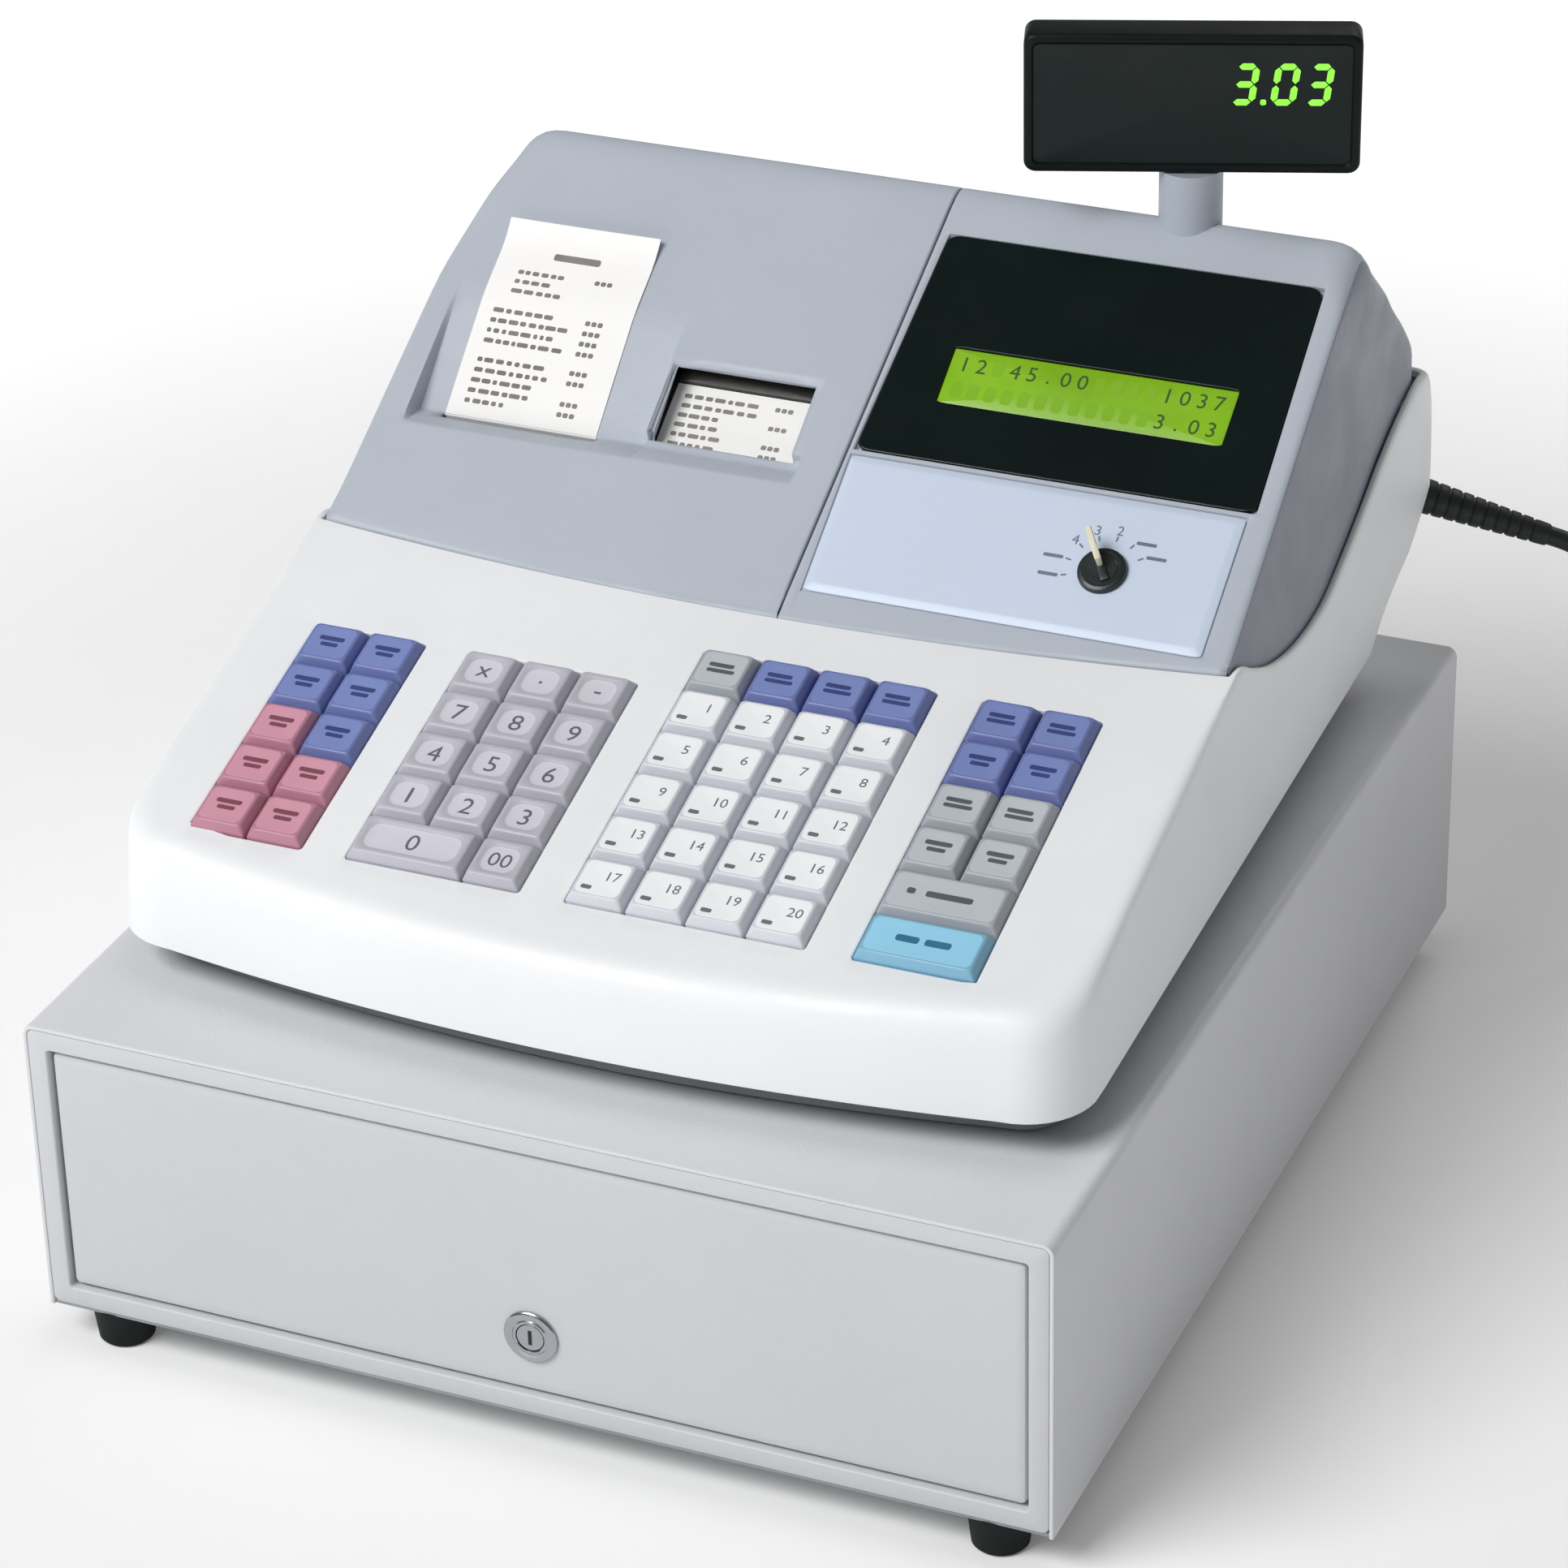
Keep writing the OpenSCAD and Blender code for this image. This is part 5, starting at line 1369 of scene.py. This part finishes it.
# Corners on the face of the display window, of the lit screen in it and of the mode panel
WINDOW_CORNERS = [(14.5, 58.5), (157, 58.5), (155, 148), (20, 148)]
SCREEN_CORNERS = [(36, 81.5), (138.5, 81.5), (138.5, 104), (36, 104)]
PANEL_CORNERS = [(14, 2), (155, 2), (155, 56), (14, 56)]
# Sections of the window's edge, of the screen's opening and of the mode panel: inset and
# height
WINDOW_RIM = [(0.0, -1.9), (0.0, -0.1), (0.12, 0.18), (0.4, 0.3), (0.6, 0.3), (6.0, 0.3)]
SCREEN_RIM = [(-2.0, 0.3), (-0.5, 0.3), (-0.3, 0.3), (-0.1, 0.22), (0.0, 0.0), (0.0, -1.9)]
PANEL_RIM = [(0, -0.7), (0, -0.2), (0.12, -0.02), (0.4, 0.1), (2.5, 0.64), (2.8, 0.69),
             (3.2, 0.7), (3.6, 0.7), (12, 0.7)]
# The screen's rows of cells: height on the face and numbers; where the first cell is, the
# step to the next, half a cell, the numbers' size and how far a point stands below
SCREEN_TEXT = ((98.0, "12 45.00    1037"), (87.6, "            3.03"))
CELL_X, CELL_STEP, CELL_HALF, CELL_TEXT, POINT_DROP = 41.5, 6.1, (1.9, 3.0), 8.2, 2.2
# Customer display: half width and height of its box and the box's section, then the same of
# its pane, as inset and depth
HEAD_HALF, HEAD_TALL = 57, 50
HEAD_RINGS = [(7, -6.9), (3.6, -6.9), (3.1, -7.3), (2.7, -8), (1.2, -7.9), (0.35, -7.3),
              (0, -6.4), (0, 6.0), (0.5, 7.3), (1.8, 8.0)]
PANE_HALF, PANE_FOOT, PANE_TOP = 53.9, 3.1, 46.9
PANE_RINGS = [(0, -6.2), (0, -7.1), (0.25, -7.32), (0.8, -7.4)]
# Dial of the mode switch: angles of its marks, the radii of a mark's ends and half its width
DIAL_ANGLES, DIAL_MARK, DIAL_HALF = (-58, -32, -5, 22, 50, 78, 105), (12.2, 14.2), 0.3
# Section of the switch's knob: distance and radius
KNOB = [(0, 8.5), (6, 8.5), (6, 10.5), (8, 10.5), (8, 8.5), (13.6, 8.45), (14.5, 8.2),
        (14.9, 7.5), (15, 6.8), (14.75, 6.4), (14.75, 5.6), (15.05, 5.2)]


def segment_digit(form, place, digit, at, width, height, stroke, slant, finish):
    """A seven-segment digit: each lit segment is a bar with pointed ends."""
    w, h = width / 2, height / 2
    lines = {"a": ((-w, h), (w, h)), "b": ((w, h), (w, 0)), "c": ((w, 0), (w, -h)),
             "d": ((w, -h), (-w, -h)), "e": ((-w, -h), (-w, 0)), "f": ((-w, 0), (-w, h)),
             "g": ((-w, 0), (w, 0))}
    for name in SEGMENTS[digit]:
        a, b = (np.array(p, float) for p in lines[name])
        d = (b - a) / np.linalg.norm(b - a)
        q = np.array([-d[1], d[0]]) * stroke / 2
        a, b = a + d * stroke * 0.12, b - d * stroke * 0.12
        loop = np.array([a, a + d * stroke / 2 - q, b - d * stroke / 2 - q, b,
                         b - d * stroke / 2 + q, a + d * stroke / 2 + q])
        loop[:, 0] += loop[:, 1] * slant
        raised(form, place, loop + at, finish)


def free_stack(place, corners, radius, rings):
    """Rounded loops inside four free corners, one for each (inset, height) of rings.

    A rounded square from -1 to 1 shrinks by the inset, and each of its points is the mean of
    the four corners, weighted by how near it stands to each.
    """
    corners = np.asarray(corners, float)
    across = np.ptp(corners, axis=0)
    base = rounded_loop((-1, -1), (1, 1), 2 * radius / across.min(), 5)
    loops = []
    for inset, height in rings:
        u = base * (1 - inset / (0.5 * across))
        weight = [(1 - u[:, 0]) * (1 - u[:, 1]), (1 + u[:, 0]) * (1 - u[:, 1]),
                  (1 + u[:, 0]) * (1 + u[:, 1]), (1 - u[:, 0]) * (1 + u[:, 1])]
        loops.append(set_at(place, sum(w[:, None] * c / 4 for w, c in zip(weight, corners)),
                            height))
    return np.array(loops)


class REGISTER_OT_displays(bpy.types.Operator):
    """Makes the operator display, its lit panel and the raised customer display"""
    bl_idname = "register.displays"
    bl_label = "Displays"

    def execute(self, context):
        glass = finish("display_black", "0b1817", rough=0.22, grain=200, relief=0.01, mottle=0.1,
                       smudge=0.05, specular=0.18)
        window = Form()
        window.grid(np.concatenate([free_stack(on_face, WINDOW_CORNERS, 3.0, WINDOW_RIM),
                                    free_stack(on_face, SCREEN_CORNERS, 0.9, SCREEN_RIM)]),
                    close_rows=True, close_cols=True)
        window.piece("operator_window", [glass], "register", ["display_window"], "display_black",
                     smooth=25)
        self.screen()
        self.customer_display(glass)
        return {"FINISHED"}

    def screen(self):
        """The lit panel with its numbers and the faint cells between them."""
        screen = Form()
        screen.block((36.2, 81.7, -3.9), (138.3, 103.8, -0.55), on_face, 0.3)
        screen.block((31, 76.5, -7), (143.5, 109, -3.9), on_face, 0.3)

        def lit(x, s, k):
            return on_face(x, s, -0.6 + 0.1 * np.asarray(k))

        for row, text in SCREEN_TEXT:
            for k, sign in enumerate(text):
                at = np.array([CELL_X + k * CELL_STEP, row])
                if sign == " ":
                    dash(screen, lit, at - CELL_HALF, at + CELL_HALF, 2)
                else:
                    write(screen, sign, lit, at - (0, POINT_DROP if sign == "." else 0),
                          CELL_TEXT, 1)
        green = finish("display_green", looks().screen, rough=0.35, grain=300, relief=0.02,
                       mottle=0.12, glow=0.16)
        dark = finish("display_marks", "35560f", rough=0.5, grain=500, relief=0.02)
        faint = finish("display_cells", "79ab17", rough=0.4, grain=500, relief=0.02, glow=0.13)
        screen.piece("operator_screen", [green, dark, faint], "register", ["lcd_panel"],
                     "display_green")

    def customer_display(self, glass):
        """A soft-edged box on its pole, turned to the customer, with lit digits in its pane."""
        c, w = math.cos(HEAD_TURN), math.sin(HEAD_TURN)

        def in_head(x, z, depth):
            x, depth = np.asarray(x, float), np.asarray(depth, float)
            return stack(POLE[0] + x * c - depth * w, POLE[1] + x * w + depth * c, HEAD_BASE + z)

        head = Form()
        rings = [((-HEAD_HALF + inset, inset), (HEAD_HALF - inset, HEAD_TALL - inset),
                  max(4 - inset * 0.5, 1.2), depth) for inset, depth in HEAD_RINGS]
        head.lathe(ring_stack(in_head, rings, 6))
        shell = finish("head_dark", "0b1413", rough=0.45, grain=1300, relief=0.12, specular=0.15)
        head.piece("customer_display_case", [shell], "popup_head", ["popup_head"], "head_dark",
                   smooth=35)
        pane = Form()
        rings = [((-PANE_HALF + inset, PANE_FOOT + inset), (PANE_HALF - inset, PANE_TOP - inset),
                  2.2, depth) for inset, depth in PANE_RINGS]
        pane.lathe(ring_stack(in_head, rings, 5))

        def on_pane(x, z, k):
            return in_head(x, z, -7.36 - 0.08 * np.asarray(k))

        lit_green = finish("digit_green", "7fe03a", rough=0.4, grain=400, relief=0.02, glow=0.75)
        for digit, x in (("3", 17.5), ("0", 31.2), ("3", 42.6)):
            segment_digit(pane, on_pane, digit, (x, 32.3), 6.3, 12.8, 2.3, 0.14, 1)
        dash(pane, on_pane, (22.8, 24.9), (24.8, 26.9), 1)
        pane.piece("customer_display_pane", [glass, lit_green], "popup_head", ["popup_window"],
                   "display_black")


class REGISTER_OT_mode_switch(bpy.types.Operator):
    """Makes the mode panel with its dial marks and the key-operated mode switch"""
    bl_idname = "register.mode_switch"
    bl_label = "Mode switch"

    def execute(self, context):
        panel = Form()
        panel.lathe(free_stack(on_face, PANEL_CORNERS, 1.2, PANEL_RIM))

        def printed(x, s, k):
            return on_face(x, s, 0.64 + 0.12 * np.asarray(k))

        cx, cs = MODE_AT
        for k, angle in enumerate(DIAL_ANGLES):
            a = math.radians(90 + angle)
            d = np.array([math.cos(a), math.sin(a)])
            q = np.array([-d[1], d[0]]) * DIAL_HALF
            inner, outer = d * DIAL_MARK[0] + MODE_AT, d * DIAL_MARK[1] + MODE_AT
            raised(panel, printed, np.array([inner - q, outer - q, outer + q, inner + q]), 1)
            if 1 < k < 5:
                write(panel, str(k), printed, MODE_AT + d * (16.6, 16.4), 5.2, 1)
                continue
            x, up = MODE_AT + 15.2 * d
            reach = math.copysign(7.0, x - cx)
            dash(panel, printed, (min(x, x + reach), up - 0.65), (max(x, x + reach), up + 0.65),
                 1)
        blue = finish("panel_blue", "c8d4e6", rough=0.4, grain=700, relief=0.03, mottle=0.008,
                      smudge=0.005)
        ink = finish("panel_print", "6b7685", rough=0.5, grain=2500, relief=0.04)
        panel.piece("mode_panel_plate", [blue, ink], "register", ["mode_panel"], "panel_blue")

        knob = Form()
        out = on_face(0, 0, 1) - on_face(0, 0, 0)
        knob.lathe(turned(on_face(cx, cs, 0) - 12 * out, out, KNOB, 48))
        c, w = math.cos(MODE_TURN), math.sin(MODE_TURN)

        def on_knob(x, s, n):
            x, s = np.asarray(x, float), np.asarray(s, float)
            return on_face(cx + x * c - s * w, cs + x * w + s * c, n)

        knob.block((-1.6, -5.0, 2.9), (1.6, 5.0, 3.9), on_knob, 0.5)
        rings = [((-half, low), (half, high), 0.7, n)
                 for n, low, high, half in ((3.2, 0.6, 7.5, 0.9), (6.5, 0.6, 9.5, 1.0),
                                            (8.2, 0.9, 12, 1.1), (10.2, 3.2, 12.8, 1.1),
                                            (10.9, 5.6, 12.4, 0.8))]
        knob.lathe(ring_stack(on_knob, rings, 3), 1)
        black = finish("switch_black", "1a2222", rough=0.38, grain=900, relief=0.1)
        tab = finish("key_tab", "e6dfc6", rough=0.5, grain=900, relief=0.08)
        knob.piece("mode_switch_rotor", [black, tab], "mode_key", ["mode_key"], "switch_black")
        return {"FINISHED"}


# Step between printed lines
LINE_STEP = 3.9
# Journal: the foot and the head of its paper up the face, and how far it bulges between
JOURNAL_S, JOURNAL_BULGE = (46.0, 78.6), 0.25


def print_lines(form, place, left, width, start, count, seed):
    """Rows of short printed dashes, with a price column at the right, from a seeded draw."""
    draw = np.random.default_rng(seed)
    for s in start + LINE_STEP * np.arange(count):
        x, end = left, left + width * draw.uniform(0.3, 0.62)
        while x < end:
            run = draw.uniform(1.4, 4.2)
            dash(form, place, (x, s - 0.85), (x + run, s + 0.85), 1)
            x += run + draw.uniform(0.6, 1.2)
        if draw.uniform() > 0.3:
            for at in left + width * 0.74 + 2.4 * np.arange(3):
                dash(form, place, (at, s - 0.9), (at + 1.9, s + 0.9), 1)


class REGISTER_OT_papers(bpy.types.Operator):
    """Lays the receipt in its recess and the journal behind its window"""
    bl_idname = "register.papers"
    bl_label = "Papers"

    def execute(self, context):
        paper = finish("paper", "f6f5f3", rough=0.85, grain=1300, relief=0.1, mottle=0.02)
        self.receipt(paper, mm(context.scene.register_housing.recess))
        self.journal(paper)
        return {"FINISHED"}

    def receipt(self, paper, deep):
        """The slip: it leaves the slot, lies in the recess and lifts at its end and sides."""

        def floor_at(s):
            """Height of the recess, bent softly into the face: the lower of the slope and 0,
            as a soft minimum made of an exponential and a logarithm."""
            foot, head = RECESS_S
            slope = (s - foot) * (deep + 0.5) / (head - foot) - deep
            return slope - np.logaddexp(0, slope / 0.3) * 0.3

        def curl(x, s):
            """How far the slip stands off the recess: a slow sine wave along it, an end that
            rises with a power of the way there, and sides that rise with its square."""
            return (0.12 * np.sin(np.maximum(s - RECESS_S[0], 0) / 11.0) ** 2
                    + 2.4 * np.clip((s - 112) / 15, 0, 1) ** 2.2
                    + 0.25 * ((x + 110.5) / 29) ** 2 * np.clip((s - 60) / 60, 0, 1))

        receipt = Form()
        s = np.concatenate([[49.1, 49.3, 49.6], np.linspace(50.4, 127, 40)])[:, None]
        n = np.concatenate([[[-12], [-9], [-7.6]], floor_at(s[3:])])
        x = np.linspace(-139.5, -81.5, 13)[None, :]
        receipt.leaf(on_face(x, s, n + 0.28 + curl(x, s)), on_face(x, s, n + 0.06 + curl(x, s)))

        def on_receipt(x, s, k):
            x, s = np.asarray(x, float), np.asarray(s, float)
            return on_face(x, s, floor_at(s) + curl(x, s) + 0.26 + 0.06 * np.asarray(k))

        for left, width, start, count, seed in ((-134, 48, 56, 5, 3), (-134, 48, 79, 4, 5),
                                                (-130, 40, 99, 3, 8)):
            print_lines(receipt, on_receipt, left, width, start, count, seed)
        dash(receipt, on_receipt, (-119, 113.5), (-101, 116.2), 1)
        receipt.piece("receipt_slip", [paper, pale_ink()], "printer_cover", ["receipt_paper"],
                      "paper")

    def journal(self, paper):
        """The journal's strip and the dark guide that it runs under: a dark block that is partly a
        guide bar and partly painted shade under the window's upper edge.
        """
        foot, head = JOURNAL_S

        def level(s, n):
            """Height n with the strip's bulge, half a sine wave from its foot to its head."""
            return n + JOURNAL_BULGE * np.sin((s - foot) / (head - foot) * math.pi)

        journal = Form()
        s = np.linspace(foot, head, 17)[:, None]
        x = np.linspace(-61, -5.5, 9)[None, :]
        journal.leaf(on_face(x, s, level(s, -10.1)), on_face(x, s, level(s, -10.4)))
        # Dark block above the paper's head: partly a guide bar, partly painted shade under the
        # window's upper edge
        journal.block((-61, head + 0.2, -10.4), (-5.5, 86, -8.6), on_face, 0.5, finish=2)

        def on_journal(x, s, k):
            return on_face(x, s, level(np.asarray(s, float), -10.12) + 0.08 * np.asarray(k))

        print_lines(journal, on_journal, -57, 46, 54.5, 6, 12)
        guide_and_shade = finish("paper_guide_and_shade", "2e2b28", rough=0.5, grain=900, relief=0.1)
        journal.piece("journal_strip", [paper, pale_ink(), guide_and_shade], "register",
                      ["journal_paper"], "paper")


# --- Cabinet -----------------------------------------------------------------------------------

# The cabinet's sheet from its inner back edge round the front to its outer back edge: inset
# and depth
SHEET_RINGS = [(1.5, CABINET_BACK - 1.5), (1.5, CABINET_FRONT + 0.5),
               (1.35, CABINET_FRONT + 0.15), (1.0, CABINET_FRONT), (0.5, CABINET_FRONT),
               (0.15, CABINET_FRONT + 0.15), (0, CABINET_FRONT + 0.5), (0, CABINET_BACK - 0.7),
               (0.25, CABINET_BACK - 0.2), (0.7, CABINET_BACK)]
# Radius of the sheet's upper edges
SHEET_ROUND = 4
# The frame round the drawer: inset and depth of its outer edge, then of its opening
FRAME_OUTER = [(0, -205.2), (0, -214.2), (0.2, -214.75), (0.6, -215)]
FRAME_INNER = [(1, -215), (0.6, -215), (0.2, -214.7), (0, -214.1), (0, -205.2)]
# The drawer's front, from its inner face over the flange to its outer face: inset and depth
DRAWER_RINGS = [(4, -210.5), (2, -210.5), (2, -206.5), (2, -199.1), (1.7, -199), (0.3, -199),
                (0, -199.4), (0, -206.5), (0, -211.6), (0.15, -212.5), (0.6, -213.2),
                (1.3, -213.5), (4, -213.5)]
# Depths of the two faces, radius of the lock's seat and half width of the gap for its cam
DRAWER_FACE, DRAWER_INSIDE, LOCK_R, CAM_GAP = -213.5, -210.5, 8.0, 19
# Section of the lock's collar: distance out of the front and radius
LOCK_COLLAR = [(0, 9.1), (0.2, 9.5), (0.9, 9.5), (1.3, 9.2), (1.55, 8.6), (1.5, 7.6),
               (1.2, 7.1), (1.15, 6.5), (1.45, 6.1), (1.5, 5.4), (1.3, 5.12), (-7.5, 5.06),
               (-7.9, 5.6), (-7.9, 7.7), (-7.5, 8.0), (0, 8.0)]


class REGISTER_OT_cabinet(bpy.types.Operator):
    """Folds the cabinet's sheet, its front frame, the drawer's front and the lock"""
    bl_idname = "register.cabinet"
    bl_label = "Cabinet and drawer front"

    def execute(self, context):
        self.sheet()
        front = finish("front_enamel", looks().front, rough=0.45, grain=700, relief=0.14,
                       mottle=0.012, smudge=0.05)
        rim = Form()
        rings = [((-178.5 + inset, 15.5 + inset), (178.5 - inset, 122.5 - inset), 2.4, y)
                 for inset, y in FRAME_OUTER]
        rings += [((-171.5 - inset, 22.5 - inset), (171.5 + inset, 115.5 + inset), 1.2 + inset, y)
                  for inset, y in FRAME_INNER]
        rim.grid(ring_stack(upright, rings, 5), close_rows=True, close_cols=True)
        rim.piece("drawer_surround", [front], "register", ["front_frame"], "front_enamel")
        self.drawer_front(front)
        self.lock()
        return {"FINISHED"}

    def sheet(self):
        """The folded sheet: upright sides, a quarter circle at each upper edge and the top."""
        enamel = finish("cabinet_enamel", looks().cabinet, rough=0.45, grain=700, relief=0.16,
                        mottle=0.012, smudge=0.05)
        a = np.radians(np.linspace(0, 90, 9))

        def hoop(inset, y):
            """The section at a depth, set in, from the right foot over the top to the left."""
            r = SHEET_ROUND - inset
            x, top = CABINET_HALF - inset, CABINET_TOP - inset
            side_z = np.linspace(CABINET_FOOT, top - r, 6)[:-1]
            loop_x = np.concatenate([np.full(5, x), x - r + r * np.cos(a)])
            loop_z = np.concatenate([side_z, top - r + r * np.sin(a)])
            top_x = np.linspace(x - r, r - x, 9)[1:-1]
            return upright(np.concatenate([loop_x, top_x, -loop_x[::-1]]),
                           np.concatenate([loop_z, np.full(7, top), loop_z[::-1]]), y)

        shell = Form()
        shell.grid(np.array([hoop(inset, y) for inset, y in SHEET_RINGS]))
        for inset, y in (SHEET_RINGS[-1], SHEET_RINGS[0]):
            loop = hoop(inset, y)
            half = len(loop) // 2 + 1
            shell.grid(np.array([loop[:half], loop[::-1][:half]]))
        shell.piece("cabinet_sheet", [enamel], "register", ["cabinet_shell"], "cabinet_enamel",
                    smooth=30)

    def drawer_front(self, front):
        """The drawer's front with its flange, the gap for the lock's cam and the lock's seat."""
        panel = Form()
        rings = [((-170.5 + inset, 23.5 + inset), (170.5 - inset, 114.5 - inset),
                  max(2.2 - inset, 0.5), y) for inset, y in DRAWER_RINGS]
        rows = ring_stack(upright, rings, 5)
        # The lock's cam turns down through a gap between two more points of the lower edge
        gap = np.repeat(rows[:, 17:18], 2, axis=1)
        gap[:, :, 0] = (-CAM_GAP, CAM_GAP)
        rows = np.concatenate([rows[:, :18], gap, rows[:, 18:]], 1)
        keep = np.ones((len(rows) - 1, rows.shape[1]), bool)
        keep[2:7, 18] = False
        panel.grid(rows, close_cols=True, keep=keep)
        panel.grid(rows[[2, 7], 18:20])
        for k in (18, 19):
            panel.grid(np.array([rows[[2, 3, 4], k], rows[[7, 6, 5], k]]))
        a = np.radians(np.arange(180, -180, -15))
        seat = np.stack([LOCK_R * np.cos(a), LOCK_Z + LOCK_R * np.sin(a)], -1)
        made, triangles = cut_sheet([rows[-1][:, [0, 2]], seat])
        middle = made[triangles].mean(1) - (0, LOCK_Z)
        triangles = triangles[np.hypot(*middle.T) > LOCK_R - 0.1]
        for y, facing in ((DRAWER_FACE, 1), (DRAWER_INSIDE, -1)):
            panel.add(upright(*made.T, y), triangles[:, ::facing])
        panel.grid(np.array([upright(*seat.T, y) for y in (DRAWER_FACE, DRAWER_INSIDE)]),
                   close_cols=True)
        panel.piece("drawer_panel", [front], "drawer", ["drawer_front"], "front_enamel")

    def lock(self):
        """The lock's collar, and its cylinder with the keyway, drawn as a dark patch of painted
        shade for the slot, and the cam.
        """
        chrome = finish("chrome", "a9acb0", rough=0.2, grain=500, relief=0.03, metal=1.0,
                        mottle=0.03)
        barrel = Form()
        barrel.grid(turned((0, -213.4, LOCK_Z), (0, -1, 0), LOCK_COLLAR, 48), close_rows=True,
                    close_cols=True)
        barrel.piece("lock_collar", [chrome], "drawer", ["lock_barrel"], "chrome")
        plug = Form()
        plug.lathe(turned((0, -203.9, LOCK_Z), (0, -1, 0),
                          [(0, 5.0), (10.3, 5.0), (10.7, 4.75), (10.8, 4.4), (10.8, 3.4)], 36))
        plug.lathe(turned((0, -203.9, LOCK_Z), (0, 1, 0),
                          [(0.1, 5.3), (0.3, 5.5), (1.9, 5.5), (2.1, 5.3)], 36))
        plug.block((0, -203.8, LOCK_Z - 4), (26, -201.8, LOCK_Z + 4), radius=0.5)
        # The keyway is not cut: this dark block on the cylinder's face is painted shade for its
        # slot
        plug.block((-0.7, -214.86, LOCK_Z - 2.8), (0.7, -214.2, LOCK_Z + 2.8), radius=0.2,
                   finish=1)
        # Painted shade for the keyway's slot
        dark = finish("keyway", "191b1c", rough=0.7, grain=900, relief=0.1)
        plug.piece("lock_cylinder", [chrome, dark], "lock_plug", ["lock_plug"], "chrome")


# --- Finishes of the pieces that keep their plain shape ----------------------------------------

PLAIN = [
    (("cabinet_base",), "base_zinc", "a4a8ab", dict(rough=0.42, metal=0.7, grain=260, relief=0.06,
                                                     mottle=0.12, streak=(1, 6, 1))),
    (("rubber_feet",), "foot_rubber", "0b1513", dict(rough=0.72, grain=1100, relief=0.25,
                                                      specular=0.25)),
    (("drawer_runners", "latch_striker", "clip_rod"), "zinc_steel", "b9bcbf",
     dict(rough=0.34, metal=1.0, grain=300, relief=0.05, mottle=0.12, streak=(1, 5, 1))),
    (("front_rollers", "rear_rollers"), "nylon", "e9e6de", dict(rough=0.5, grain=900, relief=0.1)),
    (("drawer_body",), "drawer_zinc", "b3b6b8", dict(rough=0.38, metal=0.85, grain=260,
                                                      relief=0.06, mottle=0.1, streak=(5, 1, 1))),
    (("cash_tray",), "tray_black", "33373a", dict(rough=0.55, grain=800, relief=0.3)),
    (("bill_clip_1", "bill_clip_2", "bill_clip_3", "bill_clip_4"), "clip_plastic", "26292b",
     dict(rough=0.45, grain=1200, relief=0.12)),
    (("latch_lever",), "latch_steel", "9da0a4", dict(rough=0.36, metal=1.0, grain=300,
                                                      relief=0.06, mottle=0.15)),
    (("release_solenoid",), "solenoid_steel", "858a8e", dict(rough=0.4, metal=0.9, grain=260,
                                                              relief=0.08, mottle=0.2)),
    (("lower_case",), "grey_case", "7f8387", dict(rough=0.55, grain=1100, relief=0.25)),
    (("key_plate",), "plate_steel", "70757a", dict(rough=0.42, metal=0.9, grain=260, relief=0.06,
                                                    mottle=0.12)),
    (("main_board",), "board_green", "2c6b44", dict(rough=0.4, grain=500, relief=0.2,
                                                     mottle=0.35)),
    (("transformer",), "transformer_steel", "5c6064", dict(rough=0.45, metal=0.6, grain=300,
                                                            relief=0.2, streak=(1, 1, 20))),
    (("printer_frame",), "frame_steel", "4d5257", dict(rough=0.45, metal=0.7, grain=400,
                                                        relief=0.1, mottle=0.12)),
    (("platen_roller",), "platen_rubber", "2b2e30", dict(rough=0.7, grain=1200, relief=0.2)),
    (("receipt_roll", "journal_roll"), "roll_paper", "f3f2ee", dict(rough=0.85, grain=1500,
                                                                     relief=0.15, mottle=0.05)),
    (("takeup_spool",), "spool_plastic", "d6d3ca", dict(rough=0.45, grain=1200, relief=0.12)),
    (("popup_pole",), "pole_grey", "a4abb5", dict(rough=0.4, grain=1300, relief=0.14)),
]


class REGISTER_OT_finishes(bpy.types.Operator):
    """Gives the pieces that keep their plain shape their finishes"""
    bl_idname = "register.finishes"
    bl_label = "Finishes"

    def execute(self, context):
        for names, title, colour, facts in PLAIN:
            for name in names:
                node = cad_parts[name]
                node.data.materials.clear()
                node.data.materials.append(finish(title, colour, **facts))
        return {"FINISHED"}


# --- Panel, registration and main --------------------------------------------------------------

GROUPS = {
    "register_case": REGISTER_PG_case, "register_housing": REGISTER_PG_housing,
    "register_keys": REGISTER_PG_keys, "register_looks": REGISTER_PG_looks,
    "register_lead": REGISTER_PG_lead, "register_stage": REGISTER_PG_stage,
}
OPERATORS = (
    REGISTER_OT_stage, REGISTER_OT_lead, REGISTER_OT_case, REGISTER_OT_housing,
    REGISTER_OT_printer_cover, REGISTER_OT_keys, REGISTER_OT_displays,
    REGISTER_OT_mode_switch, REGISTER_OT_papers, REGISTER_OT_cabinet, REGISTER_OT_finishes,
)


class REGISTER_PT_panel(bpy.types.Panel):
    """Lists the register's pieces and their sizes"""
    bl_idname = "REGISTER_PT_panel"
    bl_label = "Cash register"
    bl_space_type = "VIEW_3D"
    bl_region_type = "UI"
    bl_category = "Register"

    def draw(self, context):
        for operator in OPERATORS:
            self.layout.operator(operator.bl_idname)
        for name, group in GROUPS.items():
            box = self.layout.box()
            for prop in group.__annotations__:
                box.prop(getattr(context.scene, name), prop)


def register():
    """Makes the sizes, the steps and the panel known to Blender."""
    for cls in (*GROUPS.values(), *OPERATORS, REGISTER_PT_panel):
        bpy.utils.register_class(cls)
    for name, group in GROUPS.items():
        setattr(bpy.types.Scene, name, PointerProperty(type=group))


def unregister():
    """Takes them out again."""
    for name in GROUPS:
        delattr(bpy.types.Scene, name)
    for cls in (REGISTER_PT_panel, *reversed(OPERATORS), *GROUPS.values()):
        bpy.utils.unregister_class(cls)


def main():
    """Runs every step."""
    register()
    for operator in OPERATORS:
        family, action = operator.bl_idname.split(".")
        getattr(getattr(bpy.ops, family), action)()


if __name__ == "__main__":
    main()
